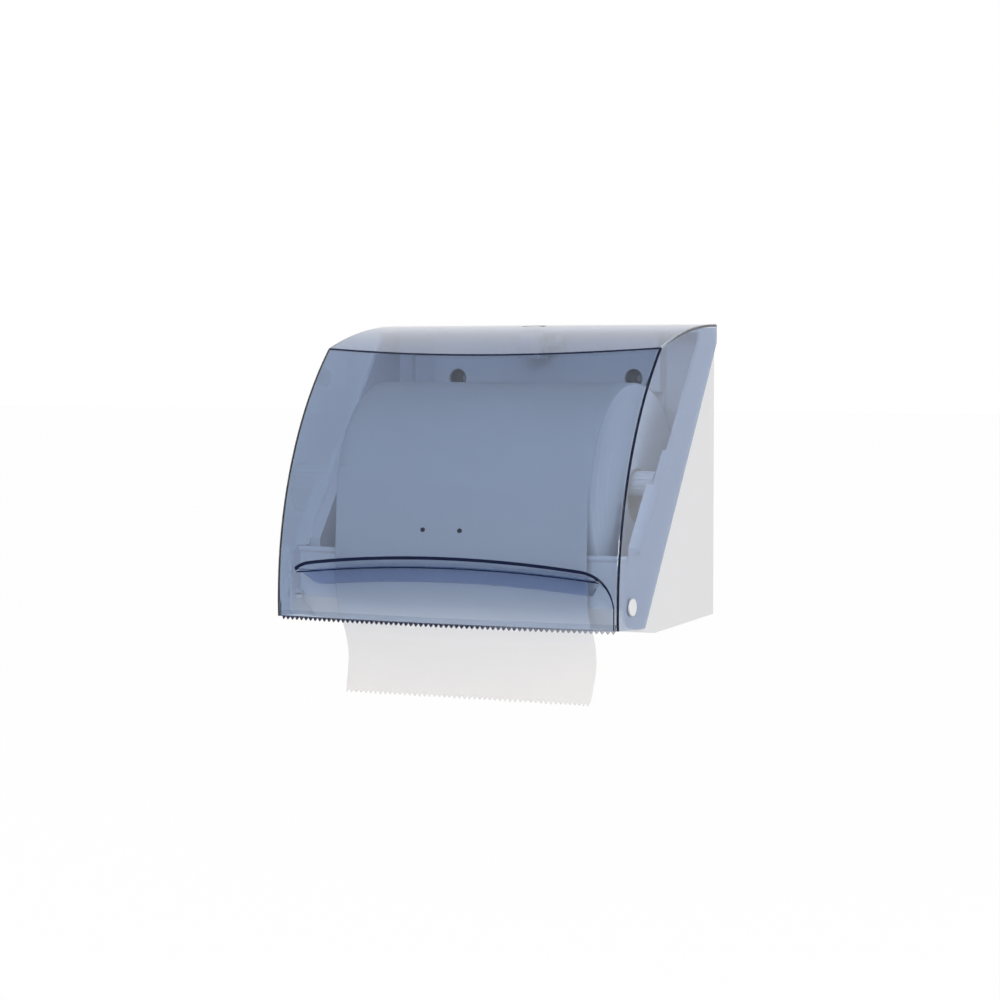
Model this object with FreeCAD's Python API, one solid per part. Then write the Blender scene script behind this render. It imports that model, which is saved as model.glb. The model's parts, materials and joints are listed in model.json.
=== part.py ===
import FreeCAD, Part
import math
import os

V = FreeCAD.Vector
os.makedirs("parts", exist_ok=True)

# Frame: +X to the right, +Y towards the wall, +Z up. The origin lies on the wall plane,
# at mid width, level with the bottom edge of the housing's back. Millimetres.

# ---- overall form ----
width = 330.0                 # across the cover's side panels
crest_height = 266.0          # top of the cover at the wall
top_radius = 440.0            # side profile of the cover's top
front_radius = 310.0          # side profile of the cover's front, at its two ends
front_centre_y = 77.0
front_centre_z = 20.0
bow_low = 10.7                # how far the front bulges at mid width, at the bottom edge
bow_high = 15.4               # and at the front top edge
bow_high_z = 237.0
cover_bottom_z = 5.0
loft_over = 8.0               # how far the lofted surfaces run past the cover

# ---- cover ----
cover_wall = 2.5
cover_back_gap = 0.8          # behind the cover's rear edge, to the wall
cover_rear_edge_z = 249.0     # where the side panel's rear edge starts to slope
cover_heel_y = -173.0         # lower rear corner of the side panel
cover_heel_z = 2.0
heel_radius = 5.0

# ---- arched recess in the front of the cover ----
arch_top_z = 62.0
arch_top_radius = 1066.0
arch_corner_radius = 35.0
arch_margin = 2.0             # from the recess to the side of the cover
recess_depth = 11.0
recess_side_lean = 1.5        # how far the recess's sides lean in for each unit of its depth
band_height = 12.3            # stiffening band along the top of the recessed panel
band_thickness = 2.0

# ---- tear bar ----
tooth_pitch = 4.914
tooth_height = 3.0
bar_height = 5.0
bar_thickness = 1.6
bar_end_gap = 1.4             # from the bar's end to the cover's side panel
tooth_end = 1.4               # from the last tooth's tip to the bar's end

# ---- marks and slot of the cover ----
stud_spacing = 35.6
stud_radius = 2.0
stud_z = 86.0
stud_length = 1.6
slot_radius = 9.5             # mid line of the half-round slot round the release tab
slot_width = 2.2
slot_centre_y = -43.5

# ---- housing ----
side_gap = 0.3                # between the cover's side panels and the housing
top_gap = 1.0                 # between the cover's top and the housing's top
housing_wall = 2.5
top_wall_depth = 41.5         # from the wall to the front edge of the top wall
belly_y = -145.0
belly_z = -4.5
belly_radius = 30.0
mouth_top_y = -41.5           # the side wall's sloping front edge, upper end
mouth_top_z = 251.0
mouth_low_y = -182.0          # and its lower end
mouth_low_z = 69.0
ear_front_y = -215.0
ear_radius = 10.0
ear_drop = 18.0               # from the hinge axis down to the bottom of the ear
shoulder_radius = 14.0
mouth_low_radius = 0.8
mouth_top_radius = 3.0

# ---- front wall of the tub, which the paper runs over ----
lip_top_z = 66.0
lip_bottom_z = 20.5           # below this the wall slopes back to the floor
chin_setback = 27.5           # how far it slopes back
chin_foot_z = 0.2
chin_thickness = 4.1          # along the floor
lip_end_y = -198.0
lip_mid_y = -209.0
lip_thickness = 2.5
bead_radius = 2.6

# ---- wall fixing ----
screw_spacing_x = 180.0
screw_spacing_z = 176.0
screw_low_z = 40.0
screw_hole_radius = 2.75
cup_inner_radius = 8.9
cup_wall = 2.5
cup_depth = 18.0
plateau_half = 114.6           # raised panel round the upper cups, from mid width to its end
plateau_low_z = 204.0
rib_thickness = 2.0
rib_depth = 7.0
rib_insets = (46.1, 15.7)     # in from the housing's side walls
rib_low_z = 12.0
rib_high_z = 236.0

# ---- cover hinge ----
hinge_y = -204.0
hinge_z = 23.0
pin_radius = 4.0
pin_running_gap = 0.05
pin_head_radius = 7.5
pin_head_height = 2.0
pin_head_gap = 0.1
pin_barb_gap = 0.15           # from the housing's wall to the barb behind it
pin_barb_height = 0.9
pin_barb_length = 5.0
pin_barb_land = 1.5           # flat of the barb behind the housing's wall
pin_tip_share = 0.7           # radius of the barb's tip as a share of the pin's
pin_dome = 0.9                # rounding of the head's rim
pin_split = 1.6

# ---- spindle, core and roll ----
spindle_y = -110.5
spindle_z = 124.2
spindle_radius = 11.0
spindle_end_gap = 0.4         # from each journal's end to the bracket's thin plate
spindle_wall = 2.2
flute_count = 12
flute_radius = 1.6
flute_lift = 0.45             # how far a flute's centre lies outside the tube, in its radius
journal_radius = 6.0
journal_length = 7.0
journal_gap = 0.05
journal_chamfer = 0.9
cap_plug_length = 8.0
cap_wall = 2.0
core_inner_radius = 21.5
core_wall = 2.0
core_stand_out = 0.8
core_hang_gap = 0.08
roll_radius = 99.0
roll_width = 246.8
roll_offset = 6.0             # the roll sits a little right of the middle

# ---- roll brackets ----
bracket_depth = 9.7           # out from the housing's side wall
bracket_face = 3.0
bracket_rim = 2.5
bracket_setback = 0.5         # behind the side wall's sloping edge
bracket_top_z = 125.0
bracket_bottom_z = 42.0
bracket_back_y = -92.0
horn_top_z = 138.0
ear_plate = 3.7               # the thin plate that stops the spindle endways
ear_plate_top_z = 154.0
boss_radius = 4.0
boss_height = 6.0
boss_gap = 0.2
bracket_screw_radius = 1.75
bracket_screw_head_radius = 3.5
bracket_screw_head = 2.2
bracket_screw_reach = 10.5
bracket_screw_places = ((spindle_y, 103.0), (-136.0, 62.0))
bracket_corner = 6.0
bracket_toe_radius = 14.0
bracket_knee = 3.0            # from the mouth's lower end up to the bracket's bend
horn_radius = 3.0
post_wall = 1.6

# ---- latch under the release tab ----
latch_width = 18.0
latch_depth = 17.0
latch_rear_y = -36.0
latch_gap = 0.35
latch_travel = 3.0
latch_rest_height = 8.5       # from the guide's underside to the latch's
latch_pad_depth = 8.0
latch_pad_drop = 2.0          # from the underside of the release tab to the latch's pad
latch_notch_drop = 2.2        # from the catch rib down to the notch behind the hook
lug_width = 5.0
lug_height = 3.0
lug_reach = 1.6
hook_thickness = 2.6
hook_engagement = 1.2
hook_flat = 0.7
hook_slope = 3.4              # how far the hook's front slopes down for the rib to ride over
latch_corner = 1.0
catch_width = 16.0
catch_thickness = 2.2
catch_over_guide = 7.2        # from the guide's top to the underside of the catch rib
catch_gap = 0.45
guide_wall = 2.2
guide_height = 15.0
guide_boss_height = 10.2      # from the guide's top up to the housing's roof
guide_ear = 13.0
guide_ear_thickness = 3.0
spring_wire = 0.7
spring_radius = 3.6
spring_turns = 3
spring_gap = 0.1
spring_sides = 12             # straight runs in a turn of the wire
spring_section = 6            # sides of its section
peg_radius = 2.4
peg_height = 2.5
guide_screw_radius = 1.5
guide_screw_head_radius = 3.0
guide_screw_head = 1.8
guide_screw_reach = 5.5
guide_screw_y = -26.0
guide_ear_rear = 14.2         # how far the ears run behind the latch's bay
guide_ear_front = 4.0
guide_corner = 1.2
spring_seat = 0.6             # depth of the spring's seat in the latch

# ---- paper tail ----
paper_thickness = 0.5
tail_width = 243.5
tail_gap = 0.35
tail_wrap = 14.0              # degrees of the roll that the tail covers above its free run
tail_points = ((-213.4, 64.0), (-213.2, 44.0), (-210.6, 22.0), (-203.6, 4.0), (-194.2, -14.0),
               (-189.8, -34.0), (-194.6, -65.5))

# ---- worked out from the above ----
half_width = width / 2.0
housing_half = half_width - cover_wall - side_gap
housing_inner = housing_half - housing_wall
top_centre_z = crest_height - top_radius
housing_top_radius = top_radius - cover_wall - top_gap
recess_floor_z = arch_top_z - recess_depth
journal_end = housing_inner - ear_plate - spindle_end_gap
spindle_half = journal_end - journal_length
spindle_bore = spindle_radius - flute_radius - spindle_wall
roll_centre_z = spindle_z - (core_inner_radius - spindle_radius) + core_hang_gap
guide_roof_z = top_centre_z + math.sqrt((housing_top_radius - housing_wall) ** 2 - guide_screw_y ** 2)
guide_top_z = guide_roof_z - guide_boss_height
guide_bottom_z = guide_top_z - guide_height
latch_bottom_z = guide_bottom_z + latch_rest_height
catch_bottom_z = guide_top_z + catch_over_guide
far = 400.0                   # beyond everything, for cutting solids
ahead = 300.0                 # in front of the whole dispenser
past = 1.0                    # how far a cutting solid runs past the face that it opens


def save(name, shape):
    """One named STEP file for each sub-part."""
    shape.exportStep("parts/%s.step" % name)


def prism_x(points, x0, x1, radii=None):
    """Extrude a closed Y-Z outline from x0 to x1, its corners rounded where radii says."""
    edges = outline_edges([V(x0, y, z) for y, z in points], radii)
    return Part.Face(Part.Wire(edges)).extrude(V(x1 - x0, 0, 0))


def prism_y(points, y0, y1, radii=None):
    """Extrude a closed X-Z outline from y0 to y1."""
    edges = outline_edges([V(x, y0, z) for x, z in points], radii)
    return Part.Face(Part.Wire(edges)).extrude(V(0, y1 - y0, 0))


def outline_edges(corners, radii=None):
    """Straight edges through the corners, with a tangent arc at each rounded one."""
    count = len(corners)
    radii = radii or {}
    starts, ends, arcs = [], [], []
    for i, corner in enumerate(corners):
        radius = radii.get(i, 0.0)
        if radius <= 0:
            starts.append(corner)
            ends.append(corner)
            arcs.append(None)
            continue
        before = (corners[i - 1] - corner).normalize()
        after = (corners[(i + 1) % count] - corner).normalize()
        half_angle = before.getAngle(after) / 2.0
        reach = radius / math.tan(half_angle)
        start = corner + before * reach
        end = corner + after * reach
        bisector = (before + after).normalize()
        middle = corner + bisector * (radius / math.sin(half_angle) - radius)
        starts.append(start)
        ends.append(end)
        arcs.append(Part.Arc(start, middle, end).toShape())
    edges = []
    for i in range(count):
        if arcs[i]:
            edges.append(arcs[i])
        here, there = ends[i], starts[(i + 1) % count]
        if here.distanceToPoint(there) > 1e-6:
            edges.append(Part.LineSegment(here, there).toShape())
    return edges


def box(x0, x1, y0, y1, z0, z1):
    return Part.makeBox(x1 - x0, y1 - y0, z1 - z0, V(x0, y0, z0))


def rod(radius, start, end):
    along = end - start
    return Part.makeCylinder(radius, along.Length, start, along)


def mirrored(shape):
    return shape.mirror(V(0, 0, 0), V(1, 0, 0))


def both(shape):
    """A shape and its mirror image across mid width."""
    return Part.makeCompound([shape, mirrored(shape)])


# ---------------------------------------------------------------- cover surfaces


def front_y(x, z, inset=0.0):
    """The front surface: an arc in side view, bulging towards mid width."""
    rise = z - front_centre_z
    end_y = front_centre_y - math.sqrt((front_radius - inset) ** 2 - rise ** 2)
    share = (z - cover_bottom_z) / (bow_high_z - cover_bottom_z)
    bow = bow_low + (bow_high - bow_low) * share
    return end_y - bow * (1.0 - (x / half_width) ** 2)


def panel_y(x, z, inset=0.0):
    """The recessed panel: flush with the front at the bottom, recess_depth in at its top."""
    share = (z - cover_bottom_z) / (recess_floor_z - cover_bottom_z)
    return front_y(x, cover_bottom_z) + recess_depth * share + inset


def bowed_solid(surface, heights, half, closing_y, inset=0.0):
    """Loft of plan sections, each an arc on the surface closed by a straight line."""
    wires = []
    for z in heights:
        left = V(-half, surface(half, z, inset), z)
        mid = V(0, surface(0, z, inset), z)
        right = V(half, surface(half, z, inset), z)
        back_right = V(half, closing_y, z)
        back_left = V(-half, closing_y, z)
        wires.append(Part.Wire([
            Part.Arc(left, mid, right).toShape(),
            Part.LineSegment(right, back_right).toShape(),
            Part.LineSegment(back_right, back_left).toShape(),
            Part.LineSegment(back_left, left).toShape()]))
    return Part.makeLoft(wires, True, False)


def front_solid(inset, half):
    """Everything behind the front surface."""
    spans = 9
    low, high = -loft_over, crest_height + loft_over
    heights = [low + (high - low) * i / spans for i in range(spans + 1)]
    return bowed_solid(front_y, heights, half, far, inset)


def before_panel(inset, half):
    """Everything in front of the recessed panel."""
    heights = [-loft_over, cover_bottom_z, recess_floor_z, arch_top_z + loft_over]
    return bowed_solid(panel_y, heights, half, -far, inset)


def arch_wire(plane_y, grow):
    """The recess edge as it lies in one plane; its top leans in at 45 degrees, its sides more."""
    leg_x = half_width - arch_margin
    corner_x = leg_x - arch_corner_radius
    top_centre = arch_top_z - arch_top_radius
    lean = math.asin(corner_x / (arch_top_radius - arch_corner_radius))
    corner_z = top_centre + (arch_top_radius - arch_corner_radius) * math.cos(lean)

    def at(x, z, nx, nz):
        inward = plane_y - front_y(x, z) - grow
        return V(x - nx * inward * recess_side_lean, plane_y, z - nz * inward)

    def on_corner(side, turn):
        nx, nz = side * math.cos(turn), math.sin(turn)
        return at(side * corner_x + nx * arch_corner_radius,
                  corner_z + nz * arch_corner_radius, nx, nz)

    def on_top(turn):
        nx, nz = math.sin(turn), math.cos(turn)
        return at(nx * arch_top_radius, top_centre + nz * arch_top_radius, nx, nz)

    steps = 8
    corner_end = math.pi / 2.0 - lean
    right = [on_corner(1, corner_end * i / steps) for i in range(steps + 1)]
    top = [on_top(lean * (1.0 - 2.0 * i / steps)) for i in range(steps + 1)]
    left = [on_corner(-1, corner_end * (1.0 - i / steps)) for i in range(steps + 1)]
    foot_right = V(right[0].x, plane_y, -far / 10.0)
    foot_left = V(left[-1].x, plane_y, -far / 10.0)
    edges = [Part.LineSegment(foot_right, right[0]).toShape()]
    for points in (right, top, left):
        curve = Part.BSplineCurve()
        curve.interpolate(points)
        edges.append(curve.toShape())
    edges.append(Part.LineSegment(left[-1], foot_left).toShape())
    edges.append(Part.LineSegment(foot_left, foot_right).toShape())
    return Part.Wire(edges)


def arch_cutter(grow):
    """The tapering space of the recess, from in front of the cover to behind its panel."""
    near = front_y(0, cover_bottom_z) - 1.5 * bow_high
    deep = front_y(half_width, cover_bottom_z) + 2.0 * recess_depth + cover_wall
    return Part.makeLoft([arch_wire(near, grow), arch_wire(deep, grow)], True, True)


# ---------------------------------------------------------------- cover


def cover_profile(x0, x1, inset):
    """Side view of the cover under its top arc, cut off by the rear and bottom edges."""
    radius = top_radius - inset
    rear_y = -cover_back_gap

    def top_at(y):
        return top_centre_z + math.sqrt(radius ** 2 - y ** 2)

    front = -ahead
    arc = Part.Arc(V(x0, front, top_at(front)), V(x0, front / 2.0, top_at(front / 2.0)),
                   V(x0, rear_y, top_at(rear_y)))
    if inset:
        corners = [V(x0, rear_y, top_at(rear_y)), V(x0, far, top_at(rear_y)), V(x0, far, -far),
                   V(x0, front, -far), V(x0, front, top_at(front))]
        lines = [Part.LineSegment(a, b).toShape() for a, b in zip(corners, corners[1:])]
        return Part.Face(Part.Wire([arc.toShape()] + lines)).extrude(V(x1 - x0, 0, 0))
    corners = [V(x0, rear_y, top_at(rear_y)), V(x0, rear_y, cover_rear_edge_z),
               V(x0, cover_heel_y, cover_heel_z), V(x0, front_y(half_width, cover_bottom_z),
                                                    cover_bottom_z),
               V(x0, front, cover_bottom_z), V(x0, front, top_at(front))]
    lines = [Part.LineSegment(a, b).toShape() for a, b in zip(corners, corners[1:])]
    solid = Part.Face(Part.Wire([arc.toShape()] + lines)).extrude(V(x1 - x0, 0, 0))
    heel = [e for e in solid.Edges if all(abs(v.Y - cover_heel_y) < 0.01 and
                                          abs(v.Z - cover_heel_z) < 0.01 for v in e.Vertexes)]
    return solid.makeFillet(heel_radius, heel)


def front_cover():
    """Clear moulded cover: bowed front with an arched recess, curved top, two side panels."""
    outer = front_solid(0.0, half_width)
    corner_edges = [e for e in outer.Edges
                    if e.BoundBox.ZLength > 200 and e.BoundBox.YMax < front_centre_y]
    outer = outer.makeFillet(arch_margin * 0.8, corner_edges)
    outer = outer.common(cover_profile(-half_width, half_width, 0.0))
    outer = outer.cut(arch_cutter(0.0).common(before_panel(0.0, half_width)))

    ledge = cover_wall * math.sqrt(2.0)
    inner_half = half_width - cover_wall
    inner = front_solid(cover_wall, inner_half)
    inner = inner.common(cover_profile(-inner_half, inner_half, cover_wall))
    recess = arch_cutter(ledge)
    inner = inner.cut(recess.common(before_panel(cover_wall, half_width)))
    below = recess.copy()
    below.translate(V(0, 0, -band_height))
    band = recess.cut(below).common(before_panel(cover_wall + band_thickness, half_width))
    inner = inner.cut(band)
    cover = outer.cut(inner)

    inner_front = front_y(stud_spacing / 2.0, stud_z, cover_wall)
    stud = rod(stud_radius, V(stud_spacing / 2.0, inner_front - cover_wall / 5.0, stud_z),
               V(stud_spacing / 2.0, inner_front + stud_length, stud_z))
    cover = cover.fuse([stud, mirrored(stud)])

    cover = cover.cut(both(pin_hole(inner_half, half_width)))
    cover = cover.cut(release_slot())
    return cover.fuse(catch_rib())


def pin_hole(x0, x1):
    """Hole for the right-hand hinge pin through a wall from x0 to x1."""
    return rod(pin_radius + pin_running_gap, V(x0 - past, hinge_y, hinge_z),
               V(x1 + past, hinge_y, hinge_z))


def release_slot():
    """Half-round slot in the top; the tongue that it leaves presses on the latch."""
    low, high = catch_bottom_z, crest_height + past
    outside = rod(slot_radius + slot_width / 2.0, V(0, slot_centre_y, low),
                  V(0, slot_centre_y, high))
    inside = rod(slot_radius - slot_width / 2.0, V(0, slot_centre_y, low - past),
                 V(0, slot_centre_y, high + past))
    reach = slot_radius + slot_width
    rear = box(-reach, reach, slot_centre_y, slot_centre_y + reach, low, high)
    return outside.cut(inside).common(rear)


def hook_rear_y():
    return latch_rear_y - latch_depth + hook_thickness


def catch_rib():
    """Rib under the cover's top that the latch's hook stands in front of."""
    front = hook_rear_y() + catch_gap
    rib = box(-catch_width / 2.0, catch_width / 2.0, front, front + catch_thickness,
              catch_bottom_z, crest_height)
    under = cover_profile(-half_width, half_width, cover_wall / 2.0)
    return rib.common(under)


def tear_bar():
    """Serrated strip behind the bottom edge of the recessed panel."""
    reach = half_width - cover_wall - bar_end_gap
    tooth_count = 1 + round(2.0 * (reach - tooth_end) / tooth_pitch)
    first = -tooth_pitch * (tooth_count - 1) / 2.0
    tip_z = cover_bottom_z - tooth_height
    corners = [(-reach, cover_bottom_z + bar_height), (-reach, cover_bottom_z)]
    for i in range(tooth_count):
        x = first + tooth_pitch * i
        root = max(x - tooth_pitch / 2.0, -reach)
        if i:
            corners.append((root, cover_bottom_z))
        corners.append((x, tip_z))
    corners += [(reach, cover_bottom_z), (reach, cover_bottom_z + bar_height)]
    comb = prism_y(corners, -far, 0.0)
    strip = before_panel(cover_wall + bar_thickness, half_width).cut(
        before_panel(cover_wall, half_width))
    return comb.common(strip)


# ---------------------------------------------------------------- housing


def side_outline():
    """Outline of the housing's side wall with the hinge ear at its lower front corner."""
    top = top_centre_z + housing_top_radius
    drop = housing_top_radius - math.sqrt(housing_top_radius ** 2 - mouth_top_y ** 2)
    low = hinge_z - ear_drop
    points = [(0.0, 0.0), (belly_y, belly_z), (hinge_y, low), (ear_front_y, low),
              (ear_front_y, lip_top_z), (mouth_low_y, lip_top_z), (mouth_low_y, mouth_low_z),
              (mouth_top_y, mouth_top_z), (mouth_top_y, top - drop), (0.0, top)]
    radii = {1: belly_radius, 3: ear_radius, 4: shoulder_radius, 6: mouth_low_radius,
             7: mouth_top_radius}
    return points, radii


def floor_z(y):
    """Underside of the housing's floor behind the belly's lowest line and in front of it."""
    low = hinge_z - ear_drop
    if y > belly_y:
        return belly_z * y / belly_y
    return belly_z + (low - belly_z) * (y - belly_y) / (hinge_y - belly_y)


def housing_shell():
    """Side walls, back, floor and a short top wall in one moulding."""
    points, radii = side_outline()
    body = prism_x(points, -housing_half, housing_half, radii)
    t = housing_wall
    radius = housing_top_radius - t

    def at(y, z):
        return V(-housing_inner, y, z)

    def roof(y):
        return at(y, top_centre_z + math.sqrt(radius ** 2 - y ** 2))

    low = floor_z(hinge_y) + t
    corners = [at(-t, floor_z(-t) + t), at(belly_y, belly_z + t), at(hinge_y, low),
               at(-ahead, low), roof(-ahead)]
    edges = [Part.LineSegment(a, b).toShape() for a, b in zip(corners, corners[1:])]
    edges.append(Part.Arc(roof(-ahead), roof(-ahead / 2.0), roof(-t)).toShape())
    edges.append(Part.LineSegment(roof(-t), corners[0]).toShape())
    room = Part.Face(Part.Wire(edges)).extrude(V(2.0 * housing_inner, 0, 0))
    body = body.cut(room)
    before_floor = before_tub(chin_setback).common(
        box(-housing_half, housing_half, -far, 0.0, -far, lip_bottom_z))
    before_top = box(-housing_inner, housing_inner, -far, -top_wall_depth, mouth_top_z, far)
    return body.cut(before_tub(0.0)).cut(before_floor).cut(before_top)


def lip_arc(offset, z):
    """The tub's front in plan, offset millimetres behind its outer face."""
    reach = housing_inner
    return Part.Arc(V(-reach, lip_end_y + offset, z), V(0, lip_mid_y + offset, z),
                    V(reach, lip_end_y + offset, z))


def before_tub(offset):
    """The space between the hinge ears, in front of the tub or of a line behind its front."""
    arc = lip_arc(offset, -far)
    right, left = arc.EndPoint, arc.StartPoint
    corners = [right, V(right.x, -far, -far), V(left.x, -far, -far), left]
    lines = [Part.LineSegment(a, b).toShape() for a, b in zip(corners, corners[1:])]
    return Part.Face(Part.Wire([arc.toShape()] + lines)).extrude(V(0, 0, 2.0 * far))


def lip_section(offset, thickness, z):
    """A strip in plan between the tub's front, set back by offset, and the same arc behind it."""
    outer, inner = lip_arc(offset, z), lip_arc(offset + thickness, z)
    return Part.Wire([outer.toShape(),
                      Part.LineSegment(outer.EndPoint, inner.EndPoint).toShape(),
                      inner.toShape(),
                      Part.LineSegment(inner.StartPoint, outer.StartPoint).toShape()])


def front_lip():
    """Bowed front wall of the tub, sloping back to the floor, with a bead for the paper."""
    low, high = lip_bottom_z, lip_top_z - bead_radius
    strip = Part.Face(lip_section(0.0, lip_thickness, low)).extrude(V(0, 0, high - low))
    chin = Part.makeLoft([lip_section(chin_setback, chin_thickness, chin_foot_z),
                          lip_section(0.0, chin_thickness, low)], True, True)
    path = Part.Wire([lip_arc(lip_thickness - bead_radius, high).toShape()])
    start = path.Edges[0].Vertexes[0].Point
    along = path.Edges[0].tangentAt(path.Edges[0].FirstParameter)
    ring = Part.Wire([Part.makeCircle(bead_radius, start, along)])
    bead = Part.Solid(path.makePipeShell([ring], True, True))
    if bead.Volume < 0:
        bead.reverse()
    bead = bead.common(box(-housing_inner, housing_inner, -far, 0.0, 0.0, far))
    return strip.fuse([chin, bead])


def fixing_plateau():
    """The back's raised top, hollow from behind, that the upper screw cups are sunk into."""
    half, wall = plateau_half, housing_wall
    outer = box(-half, half, -cup_depth, -wall / 2.0, plateau_low_z, far)
    return outer.common(under_roof(0.0))


def plateau_hollow():
    """The room behind the plateau, open to the wall, with the upper cups left standing in it."""
    half, wall = plateau_half - housing_wall, housing_wall
    room = box(-half, half, -cup_depth + wall, past, plateau_low_z + wall, far)
    cups = [rod(cup_inner_radius + cup_wall, V(x, past, z), V(x, -cup_depth, z))
            for x, z in screw_places() if z > plateau_low_z]
    return room.common(under_roof(housing_wall)).cut(Part.makeCompound(cups))


def under_roof(inset):
    """Everything under the arc of the housing's top, inset millimetres below it."""
    radius = housing_top_radius - inset
    start, end = -ahead, radius / 2.0

    def at(y):
        return V(-half_width, y, top_centre_z + math.sqrt(radius ** 2 - y ** 2))

    corners = [at(end), V(-half_width, end, -far), V(-half_width, start, -far), at(start)]
    lines = [Part.LineSegment(a, b).toShape() for a, b in zip(corners, corners[1:])]
    arc = Part.Arc(at(start), at(0.0), at(end)).toShape()
    return Part.Face(Part.Wire(lines + [arc])).extrude(V(width, 0, 0))


def screw_cup(x, z):
    """Boss on the back wall; the well in it takes a wall screw's head."""
    return rod(cup_inner_radius + cup_wall, V(x, 0, z), V(x, -cup_depth, z))


def screw_places():
    return [(side * screw_spacing_x / 2.0, z) for side in (-1, 1)
            for z in (screw_low_z, screw_low_z + screw_spacing_z)]


def rear_housing():
    """White moulded housing that screws to the wall."""
    body = housing_shell()
    extras = [front_lip(), fixing_plateau()]
    for inset in rib_insets:
        for side in (-1, 1):
            x = side * (housing_inner - inset)
            extras.append(box(x - rib_thickness / 2.0, x + rib_thickness / 2.0,
                              -housing_wall - rib_depth, -housing_wall / 2.0,
                              rib_low_z, rib_high_z))
    for x, z in screw_places():
        extras.append(screw_cup(x, z))
    wall_x = housing_inner
    for y, z in bracket_screw_places:
        boss = rod(boss_radius, V(wall_x + housing_wall / 2.0, y, z),
                   V(wall_x - boss_height, y, z))
        extras += [boss, mirrored(boss)]
    extras += [guide_boss(1), guide_boss(-1)]
    body = body.fuse(extras).cut(plateau_hollow())
    for x, z in screw_places():
        well = rod(cup_inner_radius, V(x, -housing_wall, z), V(x, -cup_depth - past, z))
        body = body.cut(well)
        body = body.cut(rod(screw_hole_radius, V(x, past, z), V(x, -housing_wall - past, z)))
    for y, z in bracket_screw_places:
        hole = rod(bracket_screw_radius, V(wall_x - boss_height - past, y, z),
                   V(bracket_screw_end(), y, z))
        body = body.cut(both(hole))
    for side in (-1, 1):
        x = side * guide_screw_x()
        body = body.cut(rod(guide_screw_radius, V(x, guide_screw_y, guide_top_z - past),
                            V(x, guide_screw_y, guide_top_z + guide_screw_reach)))
    notch = latch_width / 2.0 + latch_gap
    body = body.cut(box(-notch, notch, -top_wall_depth - past, latch_rear_y + latch_gap,
                        guide_top_z, far))
    return body.cut(both(pin_hole(housing_inner, housing_half)))


def guide_boss(side):
    """Boss under the top wall that takes a screw of the latch guide."""
    x = side * guide_screw_x()
    return rod(boss_radius, V(x, guide_screw_y, guide_top_z),
               V(x, guide_screw_y, guide_roof_z + housing_wall / 2.0))


# ---------------------------------------------------------------- hinge pins


def hinge_pin():
    """Right-hand snap pin: domed head outside, split barbed end inside the housing wall."""
    head_x = half_width + pin_head_gap
    top_x = head_x + pin_head_height
    inner_x = housing_inner - pin_barb_gap
    tip_x = inner_x - pin_barb_length
    barb = pin_radius + pin_barb_height
    rim = pin_head_radius
    profile = [V(top_x, 0, 0), V(tip_x, 0, 0), V(tip_x, 0, pin_radius * pin_tip_share),
               V(inner_x - pin_barb_land, 0, barb), V(inner_x, 0, barb), V(inner_x, 0, pin_radius),
               V(head_x, 0, pin_radius), V(head_x, 0, rim), V(top_x - pin_dome, 0, rim)]
    edges = [Part.LineSegment(a, b).toShape() for a, b in zip(profile, profile[1:])]
    knee = V(top_x, 0, rim - pin_dome)
    turn = pin_dome * (1.0 - math.sqrt(0.5))
    edges += [Part.Arc(profile[-1], V(top_x - turn, 0, rim - turn), knee).toShape(),
              Part.LineSegment(knee, profile[0]).toShape()]
    pin = Part.Face(Part.Wire(edges)).revolve(V(0, 0, 0), V(1, 0, 0), 360)
    slot = box(tip_x - past, inner_x, -barb - past, barb + past, -pin_split / 2.0,
               pin_split / 2.0)
    pin = pin.cut(slot)
    pin.translate(V(0, hinge_y, hinge_z))
    return pin


# ---------------------------------------------------------------- roll brackets


def mouth_y(z):
    """The side wall's sloping front edge."""
    share = (z - mouth_low_z) / (mouth_top_z - mouth_low_z)
    return mouth_low_y + (mouth_top_y - mouth_low_y) * share


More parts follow.
